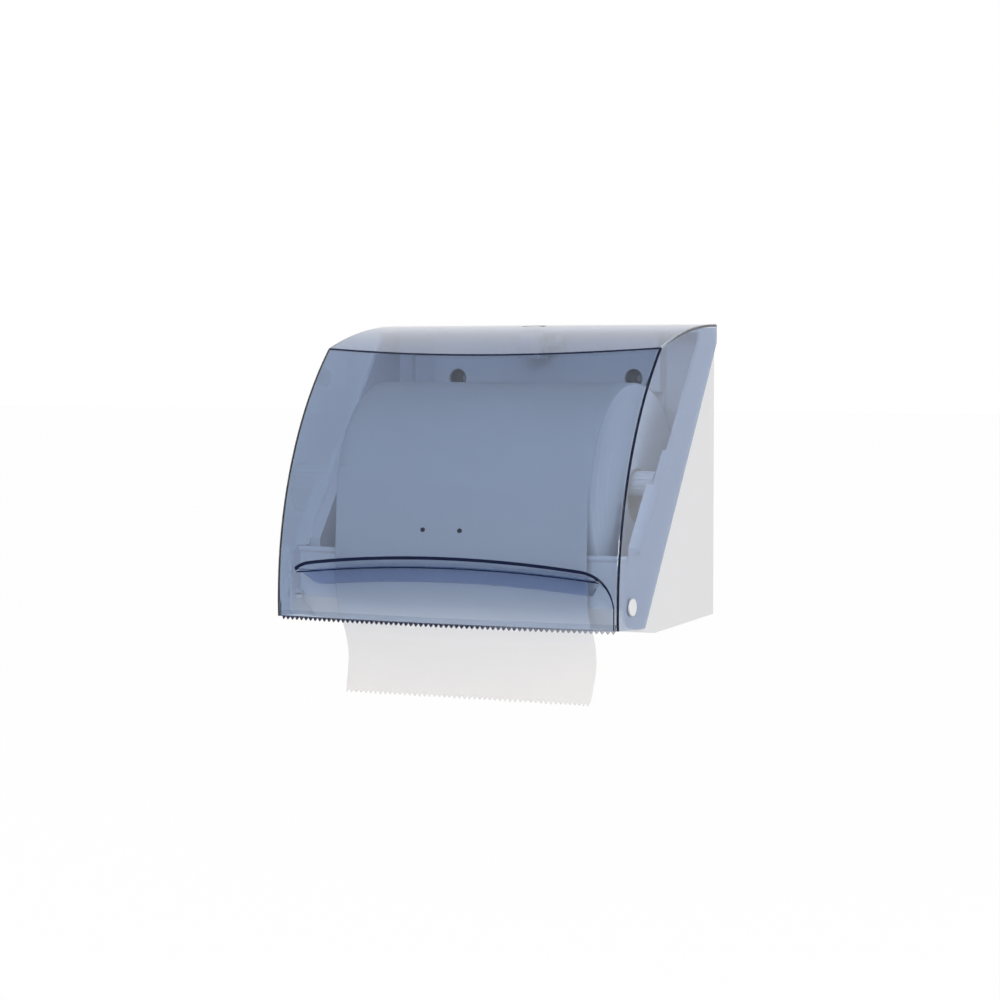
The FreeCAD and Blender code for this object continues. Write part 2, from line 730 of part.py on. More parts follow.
def bracket():
    """Right-hand moulded bracket with an open half-round seat for the spindle's journal."""
    outer_x = housing_inner
    inner_x = outer_x - bracket_depth
    seat_r = journal_radius + journal_gap

    def edge_y(z):
        return mouth_y(z) + bracket_setback

    front_low_z = mouth_low_z + bracket_knee
    body_points = [(bracket_back_y, bracket_bottom_z), (edge_y(front_low_z), bracket_bottom_z),
                   (edge_y(front_low_z), front_low_z), (edge_y(bracket_top_z), bracket_top_z),
                   (spindle_y + seat_r, bracket_top_z), (spindle_y + seat_r, horn_top_z),
                   (bracket_back_y, horn_top_z)]
    body = prism_x(body_points, inner_x, outer_x,
                   {0: bracket_corner, 1: bracket_toe_radius, 3: horn_radius / 2.0,
                    5: horn_radius, 6: horn_radius})
    pocket_x = inner_x + bracket_face
    rim = bracket_rim
    pocket_top_z = spindle_z - seat_r - 2.0 * rim
    pocket_points = [(bracket_back_y - rim, bracket_bottom_z + rim),
                     (edge_y(front_low_z) + rim, bracket_bottom_z + rim),
                     (edge_y(front_low_z) + rim, front_low_z),
                     (edge_y(pocket_top_z) + rim, pocket_top_z),
                     (bracket_back_y - rim, pocket_top_z)]
    pocket = prism_x(pocket_points, pocket_x, outer_x + past)
    posts = []
    for y, z in bracket_screw_places:
        posts.append(rod(boss_radius + boss_gap + post_wall, V(inner_x, y, z),
                         V(outer_x, y, z)))
    pocket = pocket.cut(Part.makeCompound(posts))
    body = body.cut(pocket)
    ear_x = outer_x - ear_plate
    ear_low_z = pocket_top_z - rim
    ear_points = [(bracket_back_y, ear_low_z), (edge_y(ear_low_z), ear_low_z),
                  (edge_y(ear_plate_top_z), ear_plate_top_z), (bracket_back_y, ear_plate_top_z)]
    ear = prism_x(ear_points, ear_x, outer_x, {2: horn_radius, 3: horn_radius})
    seat = rod(seat_r, V(inner_x - past, spindle_y, spindle_z), V(ear_x, spindle_y, spindle_z))
    mouth = box(inner_x - past, ear_x, spindle_y - seat_r, spindle_y + seat_r, spindle_z, far)
    body = body.cut(Part.makeCompound([seat, mouth]))
    body = body.fuse(ear)
    for y, z in bracket_screw_places:
        body = body.cut(rod(boss_radius + boss_gap, V(outer_x - boss_height - boss_gap, y, z),
                            V(outer_x + past, y, z)))
        body = body.cut(rod(bracket_screw_radius + boss_gap, V(inner_x - past, y, z),
                            V(outer_x, y, z)))
    return body


def bracket_screw_end():
    return housing_inner - bracket_depth + bracket_screw_reach


def pan_screw(start, direction, radius, head_radius, head, reach):
    """Pan-head screw; start is under the head, direction runs along the shank."""
    axis = V(direction)
    shank = Part.makeCylinder(radius, reach, start, axis)
    edge = head / 2.0
    seat = Part.makeCylinder(head_radius, head - edge, start, axis * -1.0)
    top = Part.makeCone(head_radius, head_radius - edge, edge, start - axis * (head - edge),
                        axis * -1.0)
    return shank.fuse([seat, top])


def bracket_screws():
    inner_x = housing_inner - bracket_depth
    return Part.makeCompound([
        pan_screw(V(inner_x, y, z), V(1, 0, 0), bracket_screw_radius,
                  bracket_screw_head_radius, bracket_screw_head, bracket_screw_reach)
        for y, z in bracket_screw_places])


# ---------------------------------------------------------------- spindle and roll


def spindle_tube():
    """Fluted hollow bar that the roll hangs on."""
    half = spindle_half
    tube = rod(spindle_radius, V(-half, 0, 0), V(half, 0, 0))
    flutes = []
    for i in range(flute_count):
        turn = 2.0 * math.pi * (i + 0.5) / flute_count
        reach = spindle_radius + flute_radius * flute_lift
        y, z = reach * math.cos(turn), reach * math.sin(turn)
        flutes.append(rod(flute_radius, V(-half - past, y, z), V(half + past, y, z)))
    bore = rod(spindle_bore, V(-half - past, 0, 0), V(half + past, 0, 0))
    tube = tube.cut(Part.makeCompound(flutes)).cut(bore)
    tube.translate(V(0, spindle_y, spindle_z))
    return tube


def spindle_cap():
    """Right-hand end plug: a collar, the journal and a plug inside the tube."""
    half, end = spindle_half, journal_end
    plug = rod(spindle_bore, V(half - cap_plug_length, 0, 0), V(half, 0, 0))
    journal = rod(journal_radius, V(half, 0, 0), V(end, 0, 0))
    rim = [e for e in journal.Edges if e.BoundBox.XMin > end - 0.01]
    journal = journal.makeChamfer(journal_chamfer, rim)
    hollow = rod(spindle_bore - cap_wall, V(half - cap_plug_length - past, 0, 0),
                 V(half - cap_wall, 0, 0))
    cap = plug.cut(hollow).fuse(journal)
    cap.translate(V(0, spindle_y, spindle_z))
    return cap


def tube_x(outer, inner, x0, x1):
    """Tube round the roll's axis."""
    y, z = spindle_y, roll_centre_z
    solid = rod(outer, V(x0, y, z), V(x1, y, z))
    return solid.cut(rod(inner, V(x0 - past, y, z), V(x1 + past, y, z)))


def roll_core():
    left = roll_offset - roll_width / 2.0 - core_stand_out
    right = roll_offset + roll_width / 2.0 + core_stand_out
    return tube_x(core_inner_radius + core_wall, core_inner_radius, left, right)


def paper_roll():
    left = roll_offset - roll_width / 2.0
    return tube_x(roll_radius, core_inner_radius + core_wall, left, left + roll_width)


def paper_tail():
    """Loose end of the web: off the roll's front, over the lip and out below the tear bar."""
    reach = roll_radius + tail_gap + paper_thickness / 2.0
    centre = V(0, spindle_y, roll_centre_z)
    first = V(0, tail_points[0][0], tail_points[0][1])
    run = first - centre
    swing = math.acos(reach / run.Length)
    leave = math.atan2(run.z, run.y) % (2.0 * math.pi) - swing
    begin = leave - math.radians(tail_wrap)

    def on_roll(turn):
        return centre + V(0, reach * math.cos(turn), reach * math.sin(turn))

    steps = 3
    wrap = [on_roll(begin + (leave - begin) * i / steps) for i in range(steps + 1)]
    line = wrap + [wrap[-1] + (first - wrap[-1]) * 0.5]
    line += [V(0, y, z) for y, z in tail_points]
    spline = Part.BSplineCurve()
    spline.interpolate(line)
    count = 28
    first_p, last_p = spline.FirstParameter, spline.LastParameter
    front, back = [], []
    for i in range(count + 1):
        p = first_p + (last_p - first_p) * i / count
        point = spline.value(p)
        tangent = spline.tangent(p)[0]
        side = V(0, -tangent.z, tangent.y) * (paper_thickness / 2.0)
        front.append(point + side)
        back.append(point - side)
    a, b = Part.BSplineCurve(), Part.BSplineCurve()
    a.interpolate(front)
    b.interpolate(back)
    wire = Part.Wire([a.toShape(), Part.LineSegment(front[-1], back[-1]).toShape(), b.toShape(),
                      Part.LineSegment(back[0], front[0]).toShape()])
    strip = Part.Face(wire).extrude(V(tail_width, 0, 0))
    strip.translate(V(roll_offset - tail_width / 2.0, 0, 0))
    return strip


# ---------------------------------------------------------------- latch


def guide_screw_x():
    return latch_width / 2.0 + guide_wall + latch_gap + guide_ear / 2.0


def latch_middle_y():
    return latch_rear_y - latch_depth / 2.0


def latch_guide():
    """Box that the latch slides in, hung from the housing's top wall by two ears."""
    half = latch_width / 2.0 + latch_gap
    rear, front = latch_rear_y + latch_gap, latch_rear_y - latch_depth - latch_gap
    shell = box(-half - guide_wall, half + guide_wall, front - guide_wall, rear + guide_wall,
                guide_bottom_z, guide_top_z)
    shell = shell.cut(box(-half, half, front, rear, guide_bottom_z + guide_wall, far))
    corners = [e for e in shell.Edges if e.BoundBox.ZLength > guide_height / 2.0 and
               abs(abs(e.BoundBox.XMin) - half - guide_wall) < 0.01]
    shell = shell.makeFillet(guide_corner, corners)
    ears = box(-half - guide_wall - guide_ear, half + guide_wall + guide_ear,
               rear - guide_ear_front, rear + guide_ear_rear,
               guide_top_z - guide_ear_thickness, guide_top_z)
    ears = ears.cut(box(-half, half, front, rear, 0.0, far))
    middle = latch_middle_y()
    peg = rod(peg_radius, V(0, middle, guide_bottom_z + guide_wall / 2.0),
              V(0, middle, guide_bottom_z + guide_wall + peg_height))
    guide = shell.fuse([ears, peg])
    window = lug_width / 2.0 + latch_gap
    guide = guide.cut(box(-half - guide_wall - past, half + guide_wall + past,
                          middle - window, middle + window,
                          latch_bottom_z - latch_travel - latch_gap,
                          latch_bottom_z + lug_height + latch_gap))
    for side in (-1, 1):
        x = side * guide_screw_x()
        guide = guide.cut(rod(guide_screw_radius, V(x, guide_screw_y, 0),
                              V(x, guide_screw_y, far)))
    return guide


def guide_screws():
    base = guide_top_z - guide_ear_thickness
    return Part.makeCompound([
        pan_screw(V(side * guide_screw_x(), guide_screw_y, base), V(0, 0, 1),
                  guide_screw_radius, guide_screw_head_radius, guide_screw_head,
                  guide_screw_reach + guide_ear_thickness)
        for side in (-1, 1)])


def latch_pad_z():
    """Top of the pad that the release tab pushes, a little below the cover's top."""
    middle = latch_rear_y - latch_pad_depth / 2.0
    return top_centre_z + math.sqrt((top_radius - cover_wall) ** 2 - middle ** 2) - latch_pad_drop


def latch_plunger():
    """Sliding latch: pad under the release tab, notch for the catch rib, hook in front."""
    half = latch_width / 2.0
    rear, front = latch_rear_y, latch_rear_y - latch_depth
    pad_z, notch_z = latch_pad_z(), catch_bottom_z - latch_notch_drop
    hook_z = catch_bottom_z + hook_engagement
    outline = [(rear, latch_bottom_z), (rear, pad_z), (rear - latch_pad_depth, pad_z),
               (rear - latch_pad_depth, notch_z), (hook_rear_y(), notch_z),
               (hook_rear_y(), hook_z), (hook_rear_y() - hook_flat, hook_z),
               (front, hook_z - hook_slope), (front, latch_bottom_z)]
    block = prism_x(outline, -half, half, {1: latch_corner, 2: latch_corner,
                                           3: latch_corner / 2.0, 7: latch_corner})
    middle = latch_middle_y()
    lugs = box(-half - lug_reach, half + lug_reach, middle - lug_width / 2.0,
               middle + lug_width / 2.0, latch_bottom_z, latch_bottom_z + lug_height)
    block = block.fuse(lugs)
    return block.cut(rod(spring_radius + spring_wire, V(0, middle, latch_bottom_z - past),
                         V(0, middle, latch_bottom_z + spring_seat)))


def latch_spring():
    """Compression spring between the guide's floor and the latch."""
    low = guide_bottom_z + guide_wall + spring_wire / 2.0
    high = latch_bottom_z + spring_seat - spring_wire / 2.0 - spring_gap
    steps = round(spring_turns * spring_sides)
    climb = (high - low) / steps
    along = 2.0 * math.pi * spring_radius / spring_sides
    sections = []
    for i in range(steps + 1):
        turn = 2.0 * math.pi * i / spring_sides
        outward = V(math.cos(turn), math.sin(turn), 0)
        tangent = V(-along * outward.y, along * outward.x, climb).normalize()
        upward = outward.cross(tangent)
        middle = outward * spring_radius + V(0, 0, climb * i)
        corners = []
        for k in range(spring_section + 1):
            roll = 2.0 * math.pi * k / spring_section
            corners.append(middle + (outward * math.cos(roll) + upward * math.sin(roll)) *
                           (spring_wire / 2.0))
        sections.append(Part.makePolygon(corners))
    coil = Part.makeLoft(sections, True, True)
    coil.translate(V(0, latch_middle_y(), low))
    return coil


# ---------------------------------------------------------------- all sub-parts


def build():
    pin = hinge_pin()
    arm = bracket()
    screws = bracket_screws()
    cap = spindle_cap()
    parts = {
        "rear_housing": rear_housing(),
        "front_cover": front_cover(),
        "tear_bar": tear_bar(),
        "hinge_pin_right": pin,
        "hinge_pin_left": mirrored(pin),
        "bracket_right": arm,
        "bracket_left": mirrored(arm),
        "bracket_screws_right": screws,
        "bracket_screws_left": mirrored(screws),
        "spindle_tube": spindle_tube(),
        "spindle_cap_right": cap,
        "spindle_cap_left": mirrored(cap),
        "roll_core": roll_core(),
        "paper_roll": paper_roll(),
        "paper_tail": paper_tail(),
        "latch_guide": latch_guide(),
        "latch_guide_screws": guide_screws(),
        "latch_plunger": latch_plunger(),
        "latch_spring": latch_spring(),
    }
    for name, shape in parts.items():
        save(name, shape)
        print("%-22s solids %d  volume %10.1f  valid %s" % (
            name, len(shape.Solids), shape.Volume, shape.isValid()))


build()
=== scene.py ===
import bpy
import bmesh
import json
import math
import random
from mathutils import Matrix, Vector, kdtree, noise


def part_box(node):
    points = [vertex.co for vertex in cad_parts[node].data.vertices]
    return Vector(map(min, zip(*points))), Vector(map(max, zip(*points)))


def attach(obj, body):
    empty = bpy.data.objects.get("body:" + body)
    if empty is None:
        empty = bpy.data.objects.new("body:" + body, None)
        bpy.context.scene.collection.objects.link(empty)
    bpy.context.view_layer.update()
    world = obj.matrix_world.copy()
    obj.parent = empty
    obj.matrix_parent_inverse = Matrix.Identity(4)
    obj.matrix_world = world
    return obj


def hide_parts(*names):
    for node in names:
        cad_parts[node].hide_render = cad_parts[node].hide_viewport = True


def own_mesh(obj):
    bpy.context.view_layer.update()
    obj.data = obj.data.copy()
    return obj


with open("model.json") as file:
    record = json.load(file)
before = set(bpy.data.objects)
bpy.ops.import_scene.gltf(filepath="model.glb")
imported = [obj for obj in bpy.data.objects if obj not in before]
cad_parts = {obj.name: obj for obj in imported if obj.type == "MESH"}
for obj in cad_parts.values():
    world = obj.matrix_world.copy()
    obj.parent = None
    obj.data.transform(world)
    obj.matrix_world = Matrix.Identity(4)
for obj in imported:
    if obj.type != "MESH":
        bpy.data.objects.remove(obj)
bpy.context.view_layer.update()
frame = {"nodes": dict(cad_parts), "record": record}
nodes = frame["nodes"]
record = frame["record"]
scene = bpy.context.scene
scene.view_settings.view_transform = "Standard"

cameraView = {
    "lens": 95.94,
    "sensor": 36.0,
    "place": (1.0255, -2.2952, 0.2321),
    "turn": 25.2,    # degrees to the right of straight on
    "dip": 2.98,     # degrees down
    "nearest": 0.01,
}


def aim(obj, target):
    direction = Vector(target) - obj.location
    obj.rotation_euler = direction.to_track_quat("-Z", "Y").to_euler()


def addCamera(look):
    data = bpy.data.cameras.new("camera")
    data.lens = look["lens"]
    data.sensor_width = look["sensor"]
    data.clip_start = look["nearest"]
    camera = bpy.data.objects.new("camera", data)
    scene.collection.objects.link(camera)
    turn, dip = math.radians(look["turn"]), math.radians(look["dip"])
    ahead = Vector((-math.sin(turn) * math.cos(dip), math.cos(turn) * math.cos(dip), -math.sin(dip)))
    camera.location = look["place"]
    aim(camera, camera.location + ahead)
    scene.camera = camera


wallScrews = {"acrossHalf": 0.09, "lowZ": 0.040, "highZ": 0.216}     # where the case is fixed

studio = {
    "floorDrop": 0.42,        # from the wall plane's origin down to the floor
    "floorReach": 30.0,
    "floorColour": (0.86, 0.86, 0.86),
    "floorGlow": 1.03,        # what the camera sees of the floor, and how much of it
    "floorGlowShare": 0.9,
    "planeRoughness": 0.9,
    "skyLevel": 0.70,         # the world as a lamp; straight to the eye it is white
    "lamps": {
        "frontLamp": {"place": (0.48, -3.01, 0.80), "power": 11.0, "size": 0.5},
        "keyLamp": {"place": (1.17, -2.31, 0.95), "power": 8.0, "size": 1.3},
        "sideLamp": {"place": (2.34, -0.88, 0.90), "power": 9.0, "size": 1.4},
        "farLamp": {"place": (-2.7, -0.5, 0.55), "power": 8.0, "size": 1.4},
    },
    "lampTarget": (0.0, -0.1, 0.12),
    "wallGap": 0.0008,        # patches of painted shade, standing for the wall behind the case, that show through the screw holes
    "wallHalf": 0.0035,
    # painted shade: the patches are kept dark, as the wall behind the case lies in shade
    "wallShadeColour": (0.30, 0.31, 0.33),
}


def addLamp(name, look, target):
    data = bpy.data.lights.new(name, "AREA")
    data.energy = look["power"]
    data.size = look["size"]
    lamp = bpy.data.objects.new(name, data)
    scene.collection.objects.link(lamp)
    lamp.location = look["place"]
    aim(lamp, target)


def sums(tree, operation, one, two=0.0):
    # one step of arithmetic in a material; each value is a number or a socket
    node = tree.nodes.new("ShaderNodeMath")
    node.operation = operation
    for i, value in enumerate((one, two)):
        if isinstance(value, (int, float)):
            node.inputs[i].default_value = value
        else:
            tree.links.new(value, node.inputs[i])
    return node.outputs[0]


def mixSurface(tree, mask, one, two):
    # the surface goes over from the first shader to the second where the mask says so
    mix = tree.nodes.new("ShaderNodeMixShader")
    tree.links.new(mask, mix.inputs[0])
    tree.links.new(one.outputs[0], mix.inputs[1])
    tree.links.new(two.outputs[0], mix.inputs[2])
    tree.links.new(mix.outputs[0], tree.nodes["Material Output"].inputs["Surface"])


def seenStraight(tree):
    # 1 for what the camera sees straight, mirrored or through the cover, otherwise 0
    path = tree.nodes.new("ShaderNodeLightPath")
    seen = path.outputs["Is Camera Ray"]
    for kind in ("Is Glossy Ray", "Is Transmission Ray"):
        seen = sums(tree, "MAXIMUM", seen, path.outputs[kind])
    return seen


def addSky(look):
    sky = bpy.data.worlds.new("studioSky")
    scene.world = sky
    sky.use_nodes = True
    tree = sky.node_tree
    background = tree.nodes["Background"]
    background.inputs["Color"].default_value = (1.0, 1.0, 1.0, 1.0)
    level = tree.nodes.new("ShaderNodeMix")
    level.data_type = "FLOAT"
    level.inputs[2].default_value = look["skyLevel"]
    level.inputs[3].default_value = 1.0
    tree.links.new(seenStraight(tree), level.inputs[0])
    tree.links.new(level.outputs[0], background.inputs["Strength"])


def stagePlane(name, corners, colour):
    mesh = bpy.data.meshes.new(name)
    mesh.from_pydata(corners, [], [(0, 1, 2, 3)])
    plane = bpy.data.objects.new(name, mesh)
    scene.collection.objects.link(plane)
    material = bpy.data.materials.new(name)
    material.use_nodes = True
    mesh.materials.append(material)
    shader = material.node_tree.nodes["Principled BSDF"]
    shader.inputs["Base Color"].default_value = (*colour, 1.0)
    shader.inputs["Roughness"].default_value = studio["planeRoughness"]
    shader.inputs["Specular IOR Level"].default_value = 0.0
    return material.node_tree, shader


def addFloor(look):
    reach, z = look["floorReach"], -look["floorDrop"]
    corners = [(-reach, -reach, z), (reach, -reach, z), (reach, reach, z), (-reach, reach, z)]
    tree, shader = stagePlane("paleFloor", corners, look["floorColour"])
    glow = tree.nodes.new("ShaderNodeEmission")
    glow.inputs["Strength"].default_value = look["floorGlow"]
    share = sums(tree, "MULTIPLY", seenStraight(tree), look["floorGlowShare"])
    mixSurface(tree, share, shader, glow)


def onlyFromFront(tree, shader):
    # nothing is there from its back, and it shades nothing
    facing = tree.nodes.new("ShaderNodeNewGeometry")
    path = tree.nodes.new("ShaderNodeLightPath")
    gone = facing.outputs["Backfacing"]
    for kind in ("Is Shadow Ray", "Is Diffuse Ray"):
        gone = sums(tree, "MAXIMUM", gone, path.outputs[kind])
    mixSurface(tree, gone, shader, tree.nodes.new("ShaderNodeBsdfTransparent"))


def addWallPatches(look, screws):
    # painted shade: dark patches, standing for the wall in shade behind the case, that show through the
    # four screw holes
    y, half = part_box("rear_housing")[1][1] + look["wallGap"], look["wallHalf"]
    across = screws["acrossHalf"]
    places = [(x, screws[height]) for height in ("lowZ", "highZ") for x in (-across, across)]
    for i, (x, z) in enumerate(places):
        corners = [(x + a * half, y, z + b * half) for a, b in ((-1, -1), (1, -1), (1, 1), (-1, 1))]
        tree, shader = stagePlane("wallPatch%d" % i, corners, look["wallShadeColour"])
        onlyFromFront(tree, shader)


addCamera(cameraView)
addSky(studio)
addFloor(studio)
addWallPatches(studio, wallScrews)
for lampName, lampLook in studio["lamps"].items():
    addLamp(lampName, lampLook, studio["lampTarget"])
print("camera and studio ready")


def newGroup(name, inputs, outputs):
    group = bpy.data.node_groups.new(name, "ShaderNodeTree")
    for label, kind, value in inputs:
        socket = group.interface.new_socket(name=label, in_out="INPUT", socket_type=kind)
        socket.default_value = value
    for label, kind in outputs:
        group.interface.new_socket(name=label, in_out="OUTPUT", socket_type=kind)
    return group, group.nodes.new("NodeGroupInput"), group.nodes.new("NodeGroupOutput")


surfaceNoise = {
    "cloudDetail": 5.0,
    "cloudSpan": (0.3, 0.7),      # where most of the cloud's values lie
    "grainDetail": 3.0,
}


def makeMottle(look):
    # slow clouds over a surface: a mask for the colour and a value between low and high
    group, start, end = newGroup(
        "mottle",
        [("Scale", "NodeSocketFloat", 40.0), ("Low", "NodeSocketFloat", 0.3),
         ("High", "NodeSocketFloat", 0.4)],
        [("Mask", "NodeSocketFloat"), ("Value", "NodeSocketFloat")])
    where = group.nodes.new("ShaderNodeTexCoord")
    cloud = group.nodes.new("ShaderNodeTexNoise")
    cloud.inputs["Detail"].default_value = look["cloudDetail"]
    span = group.nodes.new("ShaderNodeMapRange")
    span.inputs["From Min"].default_value, span.inputs["From Max"].default_value = look["cloudSpan"]
    link = group.links.new
    link(where.outputs["Object"], cloud.inputs["Vector"])
    link(start.outputs["Scale"], cloud.inputs["Scale"])
    link(cloud.outputs["Fac"], span.inputs["Value"])
    link(start.outputs["Low"], span.inputs["To Min"])
    link(start.outputs["High"], span.inputs["To Max"])
    link(cloud.outputs["Fac"], end.inputs["Mask"])
    link(span.outputs["Result"], end.inputs["Value"])
    return group


def makeFineGrain(look):
    # the fine tooth of a moulded or fibrous surface
    group, start, end = newGroup(
        "fineGrain",
        [("Scale", "NodeSocketFloat", 900.0), ("Strength", "NodeSocketFloat", 0.1),
         ("Distance", "NodeSocketFloat", 0.0002)],
        [("Normal", "NodeSocketVector")])
    where = group.nodes.new("ShaderNodeTexCoord")
    grain = group.nodes.new("ShaderNodeTexNoise")
    grain.inputs["Detail"].default_value = look["grainDetail"]
    bump = group.nodes.new("ShaderNodeBump")
    link = group.links.new
    link(where.outputs["Object"], grain.inputs["Vector"])
    link(start.outputs["Scale"], grain.inputs["Scale"])
    link(grain.outputs["Fac"], bump.inputs["Height"])
    link(start.outputs["Strength"], bump.inputs["Strength"])
    link(start.outputs["Distance"], bump.inputs["Distance"])
    link(bump.outputs["Normal"], end.inputs["Normal"])
    return group


mottle = makeMottle(surfaceNoise)
fineGrain = makeFineGrain(surfaceNoise)


def place(tree, group, **values):
    node = tree.nodes.new("ShaderNodeGroup")
    node.node_tree = group
    for label, value in values.items():
        node.inputs[label].default_value = value
    return node


def blendColour(tree, mask, one, two):
    # the first colour, or socket, goes over to the second colour where the mask says so
    mix = tree.nodes.new("ShaderNodeMix")
    mix.data_type = "RGBA"
    if isinstance(one, tuple):
        mix.inputs[6].default_value = (*one, 1.0)
    else:
        tree.links.new(one, mix.inputs[6])
    mix.inputs[7].default_value = (*two, 1.0)
    tree.links.new(mask, mix.inputs[0])
    return mix.outputs[2]


def objectPlace(tree):
    # where a point of the piece is, as three sockets
    where = tree.nodes.new("ShaderNodeTexCoord")
    parts = tree.nodes.new("ShaderNodeSeparateXYZ")
    tree.links.new(where.outputs["Object"], parts.inputs[0])
    return parts.outputs


def ramp(tree, value, start, end, low=0.0, high=1.0, kind="SMOOTHSTEP"):
    # low where the value is at its start, high where it is at its end
    span = tree.nodes.new("ShaderNodeMapRange")
    span.interpolation_type = kind
    for label, number in (("From Min", start), ("From Max", end), ("To Min", low), ("To Max", high)):
        span.inputs[label].default_value = number
    tree.links.new(value, span.inputs["Value"])
    return span.outputs["Result"]


def newMaterial(name):
    material = bpy.data.materials.new(name)
    material.use_nodes = True
    return material, material.node_tree, material.node_tree.nodes["Principled BSDF"]


def solidFinish(name, look):
    # opaque surface: mottled colour and roughness under a fine grain
    material, tree, shader = newMaterial(name)
    cloud = place(tree, mottle, Scale=look["cloudScale"], Low=look["roughLow"],
                  High=look["roughHigh"])
    grain = place(tree, fineGrain, Scale=look["grainScale"], Strength=look["grainStrength"],
                  Distance=look["grainDepth"])
    colour = blendColour(tree, cloud.outputs["Mask"], look["shade"], look["colour"])
    tree.links.new(colour, shader.inputs["Base Color"])
    tree.links.new(cloud.outputs["Value"], shader.inputs["Roughness"])
    tree.links.new(grain.outputs["Normal"], shader.inputs["Normal"])
    shader.inputs["Metallic"].default_value = look.get("metal", 0.0)
    shader.inputs["Specular IOR Level"].default_value = look.get("specular", 0.5)
    return material


def overBase(material, mask, colour):
    # the base colour goes over to another one where the mask says so
    tree = material.node_tree
    base = tree.nodes["Principled BSDF"].inputs["Base Color"]
    plain = base.links[0].from_socket
    tree.links.new(blendColour(tree, mask, plain, colour), base)


whitePlastic = {
    "colour": (0.83, 0.83, 0.84), "shade": (0.79, 0.79, 0.80), "cloudScale": 9.0,
    "roughLow": 0.34, "roughHigh": 0.46, "grainScale": 1400.0, "grainStrength": 0.12,
    "grainDepth": 0.0001,
}
# painted shade: a darker copy of the white plastic for the latch, so that it shows only faintly behind
# the cover
latchPaintedShade = {**whitePlastic, "colour": (0.62, 0.63, 0.65), "shade": (0.58, 0.59, 0.61)}
greyPlastic = {
    "colour": (0.76, 0.77, 0.78), "shade": (0.71, 0.72, 0.73), "cloudScale": 20.0,
    "roughLow": 0.42, "roughHigh": 0.55, "grainScale": 1400.0, "grainStrength": 0.15,
    "grainDepth": 0.0001,
}
zincSteel = {
    "colour": (0.68, 0.69, 0.71), "shade": (0.52, 0.53, 0.55), "cloudScale": 300.0,
    "roughLow": 0.25, "roughHigh": 0.45, "grainScale": 3000.0, "grainStrength": 0.1,
    "grainDepth": 0.00005, "metal": 1.0,
}
woundCard = {
    "colour": (0.52, 0.43, 0.32), "shade": (0.36, 0.28, 0.20), "cloudScale": 220.0,
    "roughLow": 0.75, "roughHigh": 0.9, "grainScale": 1800.0, "grainStrength": 0.4,
    "grainDepth": 0.0002,
}
softPaper = {
    "colour": (0.87, 0.86, 0.855), "shade": (0.83, 0.82, 0.815), "cloudScale": 60.0,
    "roughLow": 0.82, "roughHigh": 0.95, "grainScale": 1100.0, "grainStrength": 0.35,
    "grainDepth": 0.0003,
}
# painted shade: a darker copy of the paper, for the roll and for the sheet inside the case
paintedShadePaper = {**softPaper, "colour": (0.69, 0.70, 0.71), "shade": (0.65, 0.66, 0.67)}
tintedPlastic = {
    "roughLow": 0.012, "roughHigh": 0.04, "cloudScale": 7.0, "ior": 1.49,
    "dye": (0.333, 0.504, 0.779), "dyeDensity": 240.0, "clear": (0.76, 0.775, 0.775),
    "clearShade": (0.72, 0.735, 0.737),
    "sidePaintedLight": (0.93, 0.93, 0.90),      # of the right side panel, which starts at sideX: painted light, so that what lies behind it looks brighter
    "sideX": 0.1622,
}
teethPlastic = {**tintedPlastic, "dyeDensity": 40.0, "clear": (0.88, 0.90, 0.93)}
paperLightAndShade = {
    "endPaintedLight": (0.97, 0.965, 0.96),       # painted light, of the roll's flat ends
    "endFacing": 0.8,
    "outColour": (0.865, 0.845, 0.83),      # of the sheet below the case
    "lowZ": 0.0, "highZ": 0.025,
}
# painted shade: the opaque dark finish of the lines along the cover's moulded edges, its studs and its
# release slot
edgePaintedShade = {
    "colour": (0.009, 0.014, 0.046), "shade": (0.006, 0.010, 0.034), "cloudScale": 30.0,
    "roughLow": 0.22, "roughHigh": 0.32, "grainScale": 900.0, "grainStrength": 0.02,
    "grainDepth": 0.00005, "specular": 0.05,
}
# painted shade: the wells of the wall screws are painted dark
wellPaintedShade = {
    **wallScrews, "radius": 0.0089, "rimY": -0.018, "backY": -0.0006,
    "shade": (0.16, 0.17, 0.19), "blur": 0.0003, "blurDepth": 0.006,
}
# painted shade and light on the tear bar's teeth: a dark colour and a faint blue glow
tearTeeth = {
    "rootZ": 0.0056, "blur": 0.0006, "darkX": 0.03, "paleX": 0.15, "least": 0.45,
    "colour": (0.0008, 0.0018, 0.012), "glow": (0.0, 0.001, 0.018),
}


def teethPaintedShadeMask(tree, look):
    # painted shade: the teeth are painted dark, as they look against a pale ground, less so towards the
    # right
    parts = objectPlace(tree)
    below = ramp(tree, parts["Z"], look["rootZ"], look["rootZ"] - look["blur"], kind="LINEAR")
    across = ramp(tree, parts["X"], look["darkX"], look["paleX"], 1.0, look["least"], "LINEAR")
    return sums(tree, "MULTIPLY", below, across)


